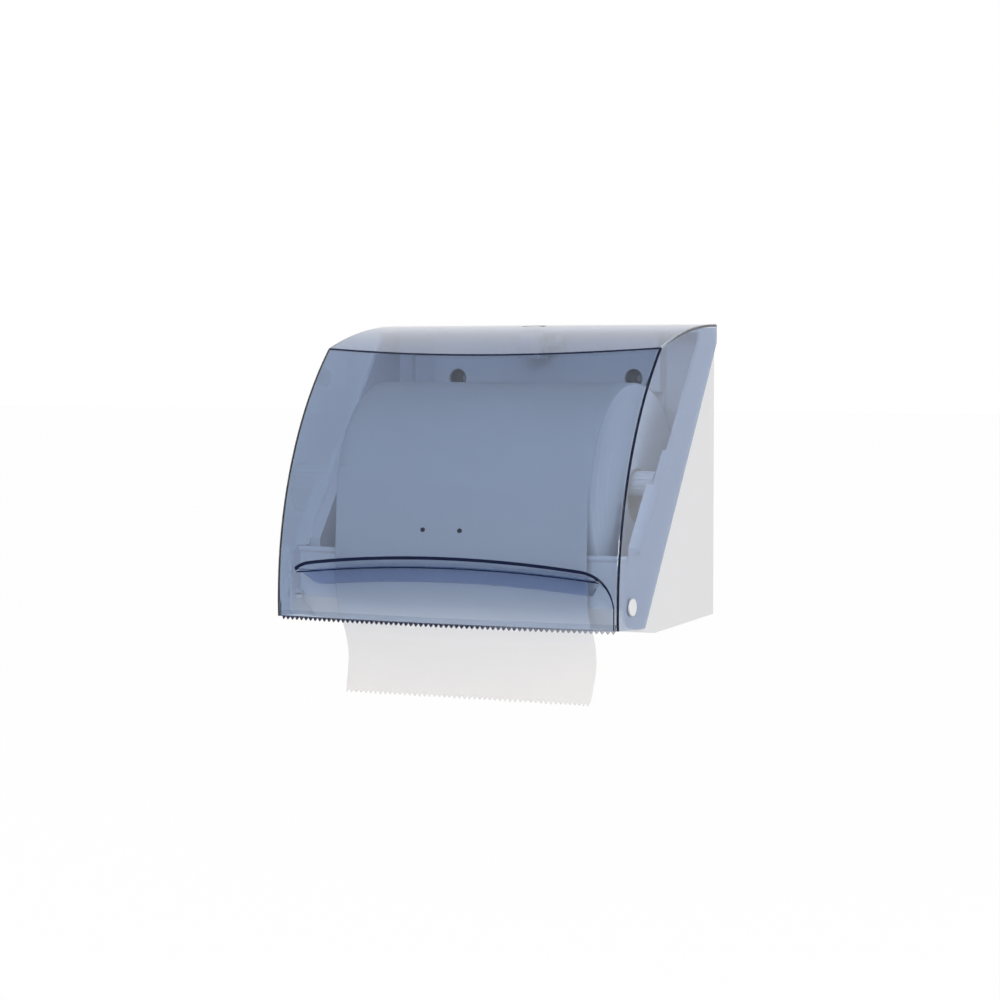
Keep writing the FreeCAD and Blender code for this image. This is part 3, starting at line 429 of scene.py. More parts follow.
def tintedFinish(name, look, teeth=None):
    # clear plastic, dyed through; its shadow is only the tint of the dye
    material, tree, shader = newMaterial(name)
    cloud = place(tree, mottle, Scale=look["cloudScale"], Low=look["roughLow"],
                  High=look["roughHigh"])
    tree.links.new(cloud.outputs["Value"], shader.inputs["Roughness"])
    if teeth:
        mask = teethPaintedShadeMask(tree, teeth)
        colour = blendColour(tree, mask, look["clear"], teeth["colour"])
        # painted light: a faint blue glow on the dark teeth
        glow = blendColour(tree, mask, (0.0, 0.0, 0.0), teeth["glow"])
        tree.links.new(glow, shader.inputs["Emission Color"])
        shader.inputs["Emission Strength"].default_value = 1.0
    else:
        colour = blendColour(tree, cloud.outputs["Mask"], look["clearShade"], look["clear"])
        # painted light: the right side panel is painted clearer than the rest of the cover
        side = sums(tree, "GREATER_THAN", objectPlace(tree)["X"], look["sideX"])
        colour = blendColour(tree, side, colour, look["sidePaintedLight"])
    tree.links.new(colour, shader.inputs["Base Color"])
    shader.inputs["Transmission Weight"].default_value = 1.0
    shader.inputs["IOR"].default_value = look["ior"]
    path = tree.nodes.new("ShaderNodeLightPath")
    clear = tree.nodes.new("ShaderNodeBsdfTransparent")
    mixSurface(tree, path.outputs["Is Shadow Ray"], shader, clear)
    dye = tree.nodes.new("ShaderNodeVolumeAbsorption")
    dye.inputs["Color"].default_value = (*look["dye"], 1.0)
    dye.inputs["Density"].default_value = look["dyeDensity"]
    tree.links.new(dye.outputs[0], tree.nodes["Material Output"].inputs["Volume"])
    return material


def rollFinish(look, mix):
    # painted light and shade: the roll's curved face has the darkened paper and its flat ends are
    # painted paler
    material = solidFinish("paintedShadePaper", look)
    tree = material.node_tree
    facing = tree.nodes.new("ShaderNodeNewGeometry")
    parts = tree.nodes.new("ShaderNodeSeparateXYZ")
    tree.links.new(facing.outputs["True Normal"], parts.inputs[0])
    sideways = sums(tree, "ABSOLUTE", parts.outputs["X"])
    overBase(material, sums(tree, "GREATER_THAN", sideways, mix["endFacing"]), mix["endPaintedLight"])
    return material


def sheetFinish(look, mix):
    # painted shade: the sheet keeps the darkened paper inside the case and goes over to a paler colour
    # below it
    material = solidFinish("freePaper", look)
    tree = material.node_tree
    below = ramp(tree, objectPlace(tree)["Z"], mix["highZ"], mix["lowZ"])
    overBase(material, below, mix["outColour"])
    return material


def housingFinish(look, well):
    # white moulding, with painted deep shade in the wells of the wall screws
    material = solidFinish("whiteHousing", look)
    tree = material.node_tree
    parts = objectPlace(tree)
    across = sums(tree, "SUBTRACT", sums(tree, "ABSOLUTE", parts["X"]), well["acrossHalf"])
    lower = sums(tree, "ABSOLUTE", sums(tree, "SUBTRACT", parts["Z"], well["lowZ"]))
    upper = sums(tree, "ABSOLUTE", sums(tree, "SUBTRACT", parts["Z"], well["highZ"]))
    height = sums(tree, "MINIMUM", lower, upper)
    squared = sums(tree, "ADD", sums(tree, "MULTIPLY", across, across),
                   sums(tree, "MULTIPLY", height, height))
    rim = well["radius"] + well["blur"]
    inside = ramp(tree, sums(tree, "SQRT", squared), rim + well["blur"], rim)
    deep = ramp(tree, parts["Y"], well["rimY"], well["rimY"] + well["blurDepth"])
    within = sums(tree, "LESS_THAN", parts["Y"], well["backY"])
    mask = sums(tree, "MULTIPLY", sums(tree, "MULTIPLY", inside, deep), within)
    overBase(material, mask, well["shade"])
    return material


finishes = {
    "white_plastic": solidFinish("whitePlastic", whitePlastic),
    "grey_plastic": solidFinish("greyPlastic", greyPlastic),
    "tinted_plastic": tintedFinish("tintedPlastic", tintedPlastic),
    "steel": solidFinish("zincSteel", zincSteel),
    "cardboard": solidFinish("woundCard", woundCard),
    "paper": solidFinish("softPaper", softPaper),
}
edgeShadeFinish = solidFinish("edgeShadeFinish", edgePaintedShade)
latchFinish = solidFinish("latchPaintedShade", latchPaintedShade)
ownFinish = {
    "rear_housing": housingFinish(whitePlastic, wellPaintedShade),
    "tear_bar": tintedFinish("tintedTeeth", teethPlastic, tearTeeth),
    "latch_guide": latchFinish,
    "latch_plunger": latchFinish,
}
rollPaper = rollFinish(paintedShadePaper, paperLightAndShade)
sheetPaper = sheetFinish(paintedShadePaper, paperLightAndShade)
print("materials ready")


def freshObject(name, vertices, faces):
    mesh = bpy.data.meshes.new(name)
    mesh.from_pydata(vertices, [], faces)
    mesh.update()
    obj = bpy.data.objects.new(name, mesh)
    scene.collection.objects.link(obj)
    return obj


def newPiece(name, vertices, faces, finish):
    piece = freshObject(name, vertices, faces)
    mesh = piece.data
    mesh.materials.append(finish)
    mesh.polygons.foreach_set("use_smooth", [True] * len(mesh.polygons))
    mesh.update()
    return piece


def evenly(start, end, count):
    # places from the start on, with the end itself left out
    return [start + (end - start) * i / count for i in range(count)]


def closedRing(rows, count):
    # faces between rows of points that each go once round
    faces = []
    for i in range(len(rows) - 1):
        for k in range(count):
            after = (k + 1) % count
            faces.append((rows[i] + k, rows[i + 1] + k, rows[i + 1] + after, rows[i] + after))
    return faces


woundRoll = {
    "around": 180,
    "layers": 34,          # visible steps between the windings on each end
    "layerWidth": 0.8,     # of each step, the rest of it is the groove
    "stagger": 0.00010,    # how unevenly the windings end
    "edgeRound": 0.0012,
    "spans": 22,           # along the roll
    "ripple": 0.00025,
    "rippleScale": (18.0, 2.0),     # along the roll and round it
    "seed": 11,
}


def addRoll(look):
    low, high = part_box("paper_roll")
    coreLow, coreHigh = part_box("roll_core")
    middleY, middleZ = (low[1] + high[1]) / 2.0, (low[2] + high[2]) / 2.0
    radius, bore = (high[2] - low[2]) / 2.0, (coreHigh[2] - coreLow[2]) / 2.0
    draw = random.Random(look["seed"])
    step = (radius - look["edgeRound"] - bore) / look["layers"]

    def endFace(x, inward):
        points = []
        for i in range(look["layers"]):
            depth = draw.random() * look["stagger"] * inward
            points.append((x + depth, bore + step * i))
            points.append((x + depth, bore + step * (i + look["layerWidth"])))
        return points

    left = endFace(low[0], 1.0)
    right = endFace(high[0], -1.0)
    start, end = low[0] + look["edgeRound"], high[0] - look["edgeRound"]
    curved = [(x, radius) for x in evenly(start, end, look["spans"]) + [end]]
    profile = left + curved + right[::-1]
    scaleAlong, scaleRound = look["rippleScale"]
    vertices = []
    for x, r in profile:
        for k in range(look["around"]):
            turn = 2.0 * math.pi * k / look["around"]
            sink = 0.0
            if r == radius:
                spot = Vector((x * scaleAlong, math.cos(turn) * scaleRound, math.sin(turn) * scaleRound))
                sink = look["ripple"] * (0.5 + 0.5 * noise.noise(spot))
            vertices.append((x, middleY + (r - sink) * math.cos(turn),
                             middleZ + (r - sink) * math.sin(turn)))
    rows = [i * look["around"] for i in range(len(profile))] + [0]
    piece = newPiece("windings", vertices, closedRing(rows, look["around"]), rollPaper)
    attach(piece, "roll")
    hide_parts("paper_roll")


looseSheet = {
    "route": ((-0.2134, 0.064), (-0.2132, 0.044), (-0.2106, 0.022), (-0.2036, 0.004),
              (-0.1942, -0.014), (-0.1898, -0.034), (-0.1946, -0.0655)),
    "wrap": 14.0,          # degrees of the roll that it covers above its free run
    "wrapSteps": 4,
    "gap": 0.00035,        # from the roll's windings
    "sink": 0.0012,        # its upper end dips under them
    "thickness": 0.0003,
    "spacing": 0.0012,     # across the sheet
    "lengthwise": 120,
    "toothPitch": 0.004914,
    "toothDepth": 0.0036,  # of the torn edge
    "tornRows": 3,
    "hangs": 0.066,        # how far it hangs below the case
    "wave": 0.0009,
    "waveScale": (9.0, 16.0, 3.0),
    "waveFull": 0.5,       # the share of its hanging length after which it waves fully
    "cornerTurn": 0.0052,  # how far the lower right corner swings inwards
    "cornerReach": 0.05,
    "foldedZ": 0.0713,     # how low its free end hangs with the cover right down
}


def smoothRoute(points, count, fine=40):
    # a curve through every point, evenly spaced along its length
    padded = [points[0] * 2.0 - points[1]] + points + [points[-1] * 2.0 - points[-2]]
    dense = []
    for i in range(1, len(padded) - 2):
        a, b, c, d = padded[i - 1:i + 3]
        for k in range(fine):
            t = k / fine
            dense.append(0.5 * ((2.0 * b) + (c - a) * t + (2.0 * a - 5.0 * b + 4.0 * c - d) * t ** 2
                                + (3.0 * b - a - 3.0 * c + d) * t ** 3))
    dense.append(points[-1])
    along = [0.0]
    for one, two in zip(dense, dense[1:]):
        along.append(along[-1] + (two - one).length)
    result, at = [], 0
    for i in range(count + 1):
        goal = along[-1] * i / count
        while at < len(along) - 2 and along[at + 1] < goal:
            at += 1
        share = (goal - along[at]) / (along[at + 1] - along[at])
        result.append(dense[at].lerp(dense[at + 1], share))
    return result, along[-1]


def sheetLine(look):
    # the sheet's route in side view: round the roll, then down its free run
    rollLow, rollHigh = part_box("paper_roll")
    centre = Vector(((rollLow[1] + rollHigh[1]) / 2.0, (rollLow[2] + rollHigh[2]) / 2.0))
    reach = (rollHigh[2] - rollLow[2]) / 2.0 + look["gap"] + look["thickness"]
    first = Vector(look["route"][0])
    run = first - centre
    leave = math.atan2(run.y, run.x) % (2.0 * math.pi) - math.acos(reach / run.length)
    begin = leave - math.radians(look["wrap"])
    points = []
    for i in range(look["wrapSteps"] + 1):
        share = i / look["wrapSteps"]
        turn = begin + (leave - begin) * share
        sink = look["sink"] * (1.0 - share)
        points.append(centre + Vector((math.cos(turn), math.sin(turn))) * (reach - sink))
    points.append((points[-1] + first) / 2.0)
    points += [Vector(p) for p in look["route"]]
    return smoothRoute(points, look["lengthwise"])


def addSheet(look):
    low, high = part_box("paper_tail")
    line, length = sheetLine(look)
    width = high[0] - low[0]
    across = round(width / look["spacing"])
    across += across % 2
    scaleX, scaleZ, seed = look["waveScale"]
    vertices = []
    for side in (-0.5, 0.5):
        for i, point in enumerate(line):
            ahead = line[min(i + 1, len(line) - 1)] - line[max(i - 1, 0)]
            normal = Vector((-ahead.y, ahead.x)).normalized()
            down = max(0.0, -point.y / look["hangs"])
            swell = min(1.0, down / look["waveFull"])
            above = (len(line) - 1 - i) / look["tornRows"]
            for k in range(across + 1):
                x = low[0] + width * k / across
                ripple = noise.noise(Vector((x * scaleX, point.y * scaleZ, seed))) * look["wave"] * swell
                corner = max(0.0, 1.0 - (high[0] - x) / look["cornerReach"]) ** 2 * down ** 2
                offset = normal * (side * look["thickness"] + ripple)
                z = point.y + offset.y
                if above < 1.0:
                    phase = abs(((x / look["toothPitch"]) % 1.0) * 2.0 - 1.0)
                    z += phase * look["toothDepth"] * (1.0 - above)
                vertices.append((x - corner * look["cornerTurn"], point.x + offset.x, z))
    rowSize = across + 1
    layer = rowSize * len(line)
    faces = []
    for i in range(len(line) - 1):
        for k in range(across):
            a = i * rowSize + k
            quad = (a, a + 1, a + rowSize + 1, a + rowSize)
            faces.append(quad)
            faces.append(tuple(layer + v for v in reversed(quad)))
    border = list(range(rowSize))
    border += [i * rowSize + across for i in range(1, len(line))]
    border += [(len(line) - 1) * rowSize + k for k in range(across - 1, -1, -1)]
    border += [i * rowSize for i in range(len(line) - 2, 0, -1)]
    for one, two in zip(border, border[1:] + border[:1]):
        faces.append((two, one, layer + one, layer + two))
    piece = newPiece("looseSheet", vertices, faces, sheetPaper)
    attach(piece, "base")
    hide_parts("paper_tail")
    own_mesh(piece)
    print("loose sheet", round(width, 4), "by", round(length, 4))


tintedCover = {
    "frontRadius": 0.310,      # the front's arc in side view
    "frontCentre": (0.077, 0.020),
    "bowLow": 0.0107,          # the front's bulge at mid width, at the bottom
    "bowHigh": 0.0154,         # and at bowHighZ
    "bowHighZ": 0.237,
    "bottomZ": 0.005,
    "topRadius": 0.440,
    "topCrown": 0.0017,        # how far the top rises at mid width, at its front
    "crownFullY": -0.16,
    "crestSearch": (0.20, 0.262),
    "rearEdgeZ": 0.249,        # the side panel's rear edge slopes from here to the heel
    "heel": (-0.173, 0.002),
    "heelRun": 0.0028,         # of the heel's rounding, along both edges
    "heelSteps": 6,
    "wall": 0.0025,
    "cornerRound": 0.0016,
    "cornerShares": (0.0, 0.08, 0.3, 0.62, 1.0),      # of the rounding, from the side inwards
    "cornerLine": (0.3, 0.7),  # where the corner's dark line runs, inwards and forwards
    "archTopZ": 0.062,
    "archRadius": 1.066,
    "archCorner": 0.035,
    "archMargin": 0.0035,
    "recessDepth": 0.011,
    "recessFloorZ": 0.051,
    "ledgeSlope": 1.2,         # the ledge's depth for each unit in from the arch
    "ledgeSearch": (0.0005, 0.03),
    "sideBlend": 0.018,        # over which the recess's ends run out to the front
    "leastOutward": 0.01,
    "edgeSoft": 0.0012,
    "legSteps": 16,
    "bandHeight": 0.0114,      # thicker band under the ledge, cut off slanting at its ends
    "bandWall": 0.0060,
    "lineDrop": 0.0004,
    "crestShift": 0.0006,
    "bandEnd": 0.1434,
    "bandSlant": 0.0174,
    "bandSlantRight": 0.002,
    "bandFade": 0.012,         # over which it thins out towards its right end
    "ledgeEnd": 0.1490,
    "lineEnd": 0.1480,         # where the dark line of the arch ends
    "columns": 30,             # from the arch's corner to the release slot
    "cornerColumns": 12,
    "panelRows": 9,
    "bandRows": 4,
    "ledgeRows": 3,
    "frontRows": 36,
    "topRows": (20, 7),        # in front of the release slot and behind it
    "leastLedge": 0.0035,
    "leastBand": 0.0006,
    "leastPanel": 0.3,         # share of the height below the ledge that stays under the band
    "thinFold": 0.4,           # share of leastBand between the last rows where the band has run out
    "bandStep": 0.00005,
    "softRows": (-0.0015, -0.0009, -0.0003, 0.0003, 0.0009, 0.0015),
    "creaseRows": 0.0012,      # either side of the edge between front and top
    "foldRows": 0.0006,        # either side of the ledge's inner edge
    "slotRows": (-0.047, -0.031, 16),
    "slotColumns": (0.013, 13),
    "studX": 0.0178,
    "studZ": 0.086,
    "studRadius": 0.002,
    "studLength": 0.0016,
    "studFacets": 24,
    "studRoot": 0.2,           # share of the wall that the stud reaches into
    "studEase": 1.02,          # faces this near to the stud's radius are its own
    "studFoot": 0.1,           # share of its length that stays clear at its foot
    "holeRadius": 0.00405,
    "slotY": -0.0435,
    "slotMid": 0.0095,
    "slotWidth": 0.0022,
    "slotFloor": 0.25622,
    # how far the painted shade reaches beyond the release slot's edges
    "slotShade": 0.0016,
    "sharpFrom": 24.0,         # degrees
    "flatSide": 0.9999,        # a face that looks sideways this squarely is a flat side
    "lineBreak": 0.02,
    "lineStep": 0.0004,
    "ribHalf": 0.008,
    "ribFront": -0.04995,
    "ribRear": -0.04775,
    "ribRoot": 0.4,            # share of the wall that the rib reaches into
}


def archShape(look, half):
    # the arch's edge: its height over x, its half width over z, and how far inside a point is
    legX = half - look["archMargin"]
    cornerX = legX - look["archCorner"]
    topCentre = look["archTopZ"] - look["archRadius"]
    inner = look["archRadius"] - look["archCorner"]
    lean = math.asin(cornerX / inner)
    cornerZ = topCentre + inner * math.cos(lean)
    joinX = look["archRadius"] * math.sin(lean)
    joinZ = topCentre + look["archRadius"] * math.cos(lean)

    def heightAt(x):
        across = min(abs(x), legX)
        if across <= joinX:
            return topCentre + math.sqrt(look["archRadius"] ** 2 - across ** 2)
        return cornerZ + math.sqrt(max(0.0, look["archCorner"] ** 2 - (across - cornerX) ** 2))

    def halfAt(z):
        if z <= cornerZ:
            return legX
        if z <= joinZ:
            return cornerX + math.sqrt(look["archCorner"] ** 2 - (z - cornerZ) ** 2)
        return math.sqrt(max(0.0, look["archRadius"] ** 2 - (z - topCentre) ** 2))

    def inside(x, z):
        # distance inwards from the edge, and how far the edge faces sideways there
        across = abs(x)
        if z <= cornerZ and across > cornerX:
            return legX - across, 1.0
        turn = math.atan2(across - cornerX, z - cornerZ)
        if turn > lean:
            away = math.hypot(across - cornerX, z - cornerZ)
            return look["archCorner"] - away, math.sin(turn)
        away = math.hypot(across, z - topCentre)
        return look["archRadius"] - away, across / away

    columns = []
    for share in evenly(1.0, 0.0, look["cornerColumns"]):
        turn = lean + (math.pi / 2.0 - lean) * share
        columns.append(cornerX + look["archCorner"] * math.sin(turn))
    return heightAt, halfAt, inside, columns, joinX


def root(function, low, high):
    # where a rising function passes zero
    for _ in range(50):
        middle = (low + high) / 2.0
        if function(middle) > 0.0:
            high = middle
        else:
            low = middle
    return (low + high) / 2.0


def topPlaces(look, crestY, rearY):
    # rows over the top, closer together round the release slot
    slotFront, slotRear, slotCount = look["slotRows"]
    ahead, behind = look["topRows"]
    places = [crestY + look["creaseRows"] / 3.0]
    places += evenly(crestY + look["creaseRows"], slotFront, ahead)
    places += evenly(slotFront, slotRear, slotCount)
    places += evenly(slotRear, rearY, behind) + [rearY]
    return places


def coverForms(look, half, crest, heightAt, halfAt, inside):
    # the cover's outer face as formulas
    bottom, topCentre = look["bottomZ"], crest - look["topRadius"]

    def frontY(x, z):
        rise = z - look["frontCentre"][1]
        share = (z - bottom) / (look["bowHighZ"] - bottom)
        bow = look["bowLow"] + (look["bowHigh"] - look["bowLow"]) * share
        arc = math.sqrt(look["frontRadius"] ** 2 - rise ** 2)
        return look["frontCentre"][0] - arc - bow * (1.0 - (x / half) ** 2)

    def panelDepth(x, z):
        share = (z - bottom) / (look["recessFloorZ"] - bottom)
        return max(0.0, frontY(x, bottom) + look["recessDepth"] * share - frontY(x, z))

    def sideDepth(x, z):
        # full inside the recess, run out smoothly at its ends
        reach = max(0.0, min(1.0, (halfAt(z) - abs(x)) / look["sideBlend"]))
        return panelDepth(x, z) * (1.5 * reach - 0.5 * reach ** 3)

    def ledgeOver(x, drop):
        z = heightAt(x) - drop
        return look["ledgeSlope"] * inside(x, z)[0] - sideDepth(x, z)

    def surfaceY(x, z):
        deep, outward = inside(x, z)
        soft, y = look["edgeSoft"], frontY(x, z)
        if deep > 0.0:
            y += min(sideDepth(x, z), look["ledgeSlope"] * deep)
        if abs(deep) < soft:
            rate = 1.5 * panelDepth(x, z) / look["sideBlend"]
            rate = min(look["ledgeSlope"], rate / max(outward, look["leastOutward"]))
            y += rate * ((deep + soft) ** 2 / (4.0 * soft) - max(0.0, deep))
        return y

    def topZ(x, y):
        crown = look["topCrown"] * (1.0 - (x / half) ** 2) * min(1.0, y / look["crownFullY"])
        return topCentre + math.sqrt(look["topRadius"] ** 2 - y ** 2) + crown

    return frontY, surfaceY, topZ, ledgeOver


def coverColumns(look, half, cornerColumns, joinX):
    # places across the cover, closer together at its corners and round the release slot
    slotHalf, slotCount = look["slotColumns"]
    columns = [half - look["cornerRound"] * share for share in look["cornerShares"]]
    columns += cornerColumns
    columns += evenly(joinX, slotHalf, look["columns"])
    columns += evenly(slotHalf, 0.0, slotCount)
    return [-x for x in columns] + [0.0] + columns[::-1]


def bandAt(look, x):
    # the thick band at one place: how much of it there is, its height and its wall
    slant = look["bandSlant"] if x < 0.0 else look["bandSlantRight"]
    share = max(0.0, min(1.0, (look["bandEnd"] - abs(x)) / slant))
    height = look["leastBand"] + (look["bandHeight"] - look["leastBand"]) * share
    thin = look["wall"] / look["bandWall"]
    keeps = max(0.0, min(1.0, (look["bandEnd"] - x) / look["bandFade"]))
    return share, height, thin + (1.0 - thin) * keeps


def columnRows(look, edge, floor, bandZ, near, crestZ):
    # the heights of one column's rows up the front, and which of them are the band's
    bandFoot, soft, end = bandZ - look["bandStep"], look["softRows"], crestZ - look["creaseRows"]
    rows = evenly(look["bottomZ"], bandFoot, look["panelRows"]) + [bandFoot]
    bandFrom = len(rows)
    rows += evenly(bandZ, floor - near, look["bandRows"]) + [floor - near, floor]
    bandTo = len(rows)
    rows += evenly(floor + look["foldRows"], edge + soft[0], look["ledgeRows"])
    rows += [edge + offset for offset in soft]
    rows += evenly(edge + soft[-1], end, look["frontRows"])[1:] + [end]
    return rows, range(bandFrom, bandTo)


def drawnIn(look, half, x, profile):
    # one column's profile, drawn in where the corner beside the flat side is rounded
    past = max(0.0, abs(x) - (half - look["cornerRound"]))
    sink = look["cornerRound"] - math.sqrt(max(0.0, look["cornerRound"] ** 2 - past ** 2))
    points, last = [], len(profile) - 1
    for i, point in enumerate(profile):
        along = profile[min(i + 1, last)] - profile[max(i - 1, 0)]
        inward = Vector((along.y, -along.x)).normalized()
        if i == 0:
            inward = Vector((1.0, 0.0))
        if i == last:
            inward = Vector((0.0, -1.0))
        points.append(point + inward * sink)
    return points


def sideOutline(look, foot, rearTop):
    # the side panel's edge, round the heel and up to the rear end of the top
    heel = Vector(look["heel"])
    towardRear = (rearTop - heel).normalized() * look["heelRun"]
    towardFront = (foot - heel).normalized() * look["heelRun"]
    points = []
    for i in range(look["heelSteps"] + 1):
        t = i / look["heelSteps"]
        points.append(heel + towardFront * (1.0 - t) ** 2 + towardRear * t ** 2)
    return points + [rearTop]


def coverSkin(look):
    # the cover's outer face: columns across it, rows up the front and back over the top
    half, rearY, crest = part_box("front_cover")[1]
    heightAt, halfAt, inside, cornerColumns, joinX = archShape(look, half)
    frontY, surfaceY, topZ, ledgeOver = coverForms(look, half, crest, heightAt, halfAt, inside)
    bottom, thin = look["bottomZ"], look["wall"] / look["bandWall"]
    columns = coverColumns(look, half, cornerColumns, joinX)
    vertices, thick = [], []
    marks = {"arch": [], "archEnd": [], "ledge": [], "crest": [], "leg": [], "corner": []}
    for x in columns:
        edge = heightAt(x)
        drop = look["leastLedge"]
        if abs(x) < look["ledgeEnd"]:
            drop = max(drop, root(lambda d: ledgeOver(x, d), *look["ledgeSearch"]))
            foldZ = edge - drop + look["foldRows"] / 2.0
            marks["ledge"].append(Vector((x, surfaceY(x, foldZ), foldZ)))
        floor = edge - drop
        share, height, bandWall = bandAt(look, x)
        bandZ = max(floor - height, bottom + (floor - bottom) * look["leastPanel"])
        near = look["foldRows"] if share > 0.0 else look["leastBand"] * look["thinFold"]
        crestZ = root(lambda z: z - topZ(x, frontY(x, z)), *look["crestSearch"])
        crestY = frontY(x, crestZ)
        rows, inBand = columnRows(look, edge, floor, bandZ, near, crestZ)
        profile = [Vector((surfaceY(x, z), z)) for z in rows]
        under = crestZ - look["creaseRows"] / 3.0
        profile.append(Vector((frontY(x, under), under)))
        profile += [Vector((y, topZ(x, y))) for y in topPlaces(look, crestY, rearY)]
        rowCount, frontCount = len(profile), len(rows) + 2
        vertices += [(x, point.x, point.y) for point in drawnIn(look, half, x, profile)]
        thick += [bandWall if i in inBand and share > 0.0 else thin for i in range(rowCount)]
        if x >= -look["lineEnd"]:
            lineZ = edge - look["lineDrop"]
            kind = "arch" if x <= look["lineEnd"] else "archEnd"
            marks[kind].append(Vector((x, surfaceY(x, lineZ), lineZ)))
        lineY = crestY + look["crestShift"]
        marks["crest"].append(Vector((x, lineY, topZ(x, lineY))))
    faces = []
    for c in range(len(columns) - 1):
        for r in range(rowCount - 1):
            a, b = c * rowCount + r, (c + 1) * rowCount + r
            faces.append((a, b, b + 1, a + 1))

    foot, rearTop = Vector((frontY(half, bottom), bottom)), Vector((rearY, look["rearEdgeZ"]))
    outline = sideOutline(look, foot, rearTop)
    inwards, forwards = (look["cornerRound"] * part for part in look["cornerLine"])
    legX = half - look["archMargin"]
    for side, column in ((-1.0, 0), (1.0, len(columns) - 1)):
        ring = list(range(len(vertices), len(vertices) + len(outline)))
        ring += [column * rowCount + r for r in range(rowCount - 1, -1, -1)]
        faces.append(tuple(ring if side > 0.0 else ring[::-1]))
        vertices += [(side * half, point.x, point.y) for point in outline]
        thick += [thin] * len(outline)
        for x, y, z in vertices[column * rowCount:column * rowCount + frontCount]:
            marks["corner"].append(Vector((x - side * inwards, y - forwards, z)))
        for z in evenly(bottom, heightAt(legX), look["legSteps"]):
            marks["leg"].append(Vector((side * legX, surfaceY(side * legX, z), z)))
    return vertices, faces, thick, marks, frontY


def applied(obj):
    # the object's mesh with its modifiers done
    bpy.context.view_layer.update()
    seen = obj.evaluated_get(bpy.context.evaluated_depsgraph_get())
    mesh = bpy.data.meshes.new_from_object(seen)
    old = obj.data
    obj.modifiers.clear()
    obj.data = mesh
    bpy.data.meshes.remove(old)


def cylinderMesh(centre, axis, radius, length, count=48):
    # vertices and faces of a closed cylinder
    along = Vector(axis)
    side = Vector((0.0, 0.0, 1.0)) if abs(along.z) < 0.5 else Vector((1.0, 0.0, 0.0))
    other = along.cross(side)
    vertices = []
    for end in (-0.5, 0.5):
        for k in range(count):
            turn = 2.0 * math.pi * k / count
            vertices.append(tuple(Vector(centre) + along * (end * length)
                                  + (side * math.cos(turn) + other * math.sin(turn)) * radius))
    faces = [(k, (k + 1) % count, count + (k + 1) % count, count + k) for k in range(count)]
    faces.append(tuple(range(count - 1, -1, -1)))
    faces.append(tuple(range(count, 2 * count)))
    return vertices, faces


def halfRingMesh(look, low, high, count=32):
    # the release slot's half ring, between two heights
    vertices, faces = [], []
    reach = look["slotWidth"] / 2.0
    inner, outer = look["slotMid"] - reach, look["slotMid"] + reach
    corners = ((inner, low), (outer, low), (outer, high), (inner, high))
    for k in range(count + 1):
        turn = math.pi * k / count
        for radius, z in corners:
            vertices.append((radius * math.cos(turn), look["slotY"] + radius * math.sin(turn), z))
    for k in range(count):
        for i in range(4):
            a, b = 4 * k + i, 4 * k + (i + 1) % 4
            faces.append((a, b, b + 4, a + 4))
    faces.append((3, 2, 1, 0))
    faces.append(tuple(4 * count + i for i in range(4)))
    return vertices, faces


def joinedTool(name, parts):
    # several closed meshes as one object, for cutting or adding
    vertices, faces = [], []
    for partVertices, partFaces in parts:
        base = len(vertices)
        vertices += partVertices
        faces += [tuple(base + v for v in face) for face in partFaces]
    tool = freshObject(name, vertices, faces)
    shape = bmesh.new()
    shape.from_mesh(tool.data)
    bmesh.ops.recalc_face_normals(shape, faces=shape.faces)
    shape.to_mesh(tool.data)
    shape.free()
    return tool


def coverTools(look, half, crest, frontY):
    # what is added to the shell, studs and a rib, and what is cut out, pin holes and a slot
    wall = look["wall"]
    studY = frontY(look["studX"], look["studZ"]) + wall * (1.0 - look["studRoot"])
    studRun = look["studLength"] + wall * look["studRoot"]
    added = [cylinderMesh((side * look["studX"], studY + studRun / 2.0, look["studZ"]),
                          (0.0, 1.0, 0.0), look["studRadius"], studRun, look["studFacets"])
             for side in (-1.0, 1.0)]
    ribZ = crest - look["topRadius"] + math.sqrt(look["topRadius"] ** 2 - look["ribFront"] ** 2)
    x, front, rear = look["ribHalf"], look["ribFront"], look["ribRear"]
    rib = [(*corner, z) for z in (look["slotFloor"], ribZ - wall * look["ribRoot"])
           for corner in ((-x, front), (x, front), (x, rear), (-x, rear))]
    ribFaces = [(3, 2, 1, 0), (4, 5, 6, 7), (0, 1, 5, 4), (1, 2, 6, 5), (2, 3, 7, 6), (3, 0, 4, 7)]
    adding = joinedTool("coverAdding", added + [(rib, ribFaces)])
    pinLow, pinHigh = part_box("hinge_pin_right")
    hingeY, hingeZ = (pinLow[1] + pinHigh[1]) / 2.0, (pinLow[2] + pinHigh[2]) / 2.0
    through = 3.0 * wall
    holes = [cylinderMesh((side * half, hingeY, hingeZ), (1.0, 0.0, 0.0), look["holeRadius"], through)
             for side in (-1.0, 1.0)]
    slot = halfRingMesh(look, look["slotFloor"], crest + wall)
    return adding, joinedTool("coverCutting", holes + [slot])


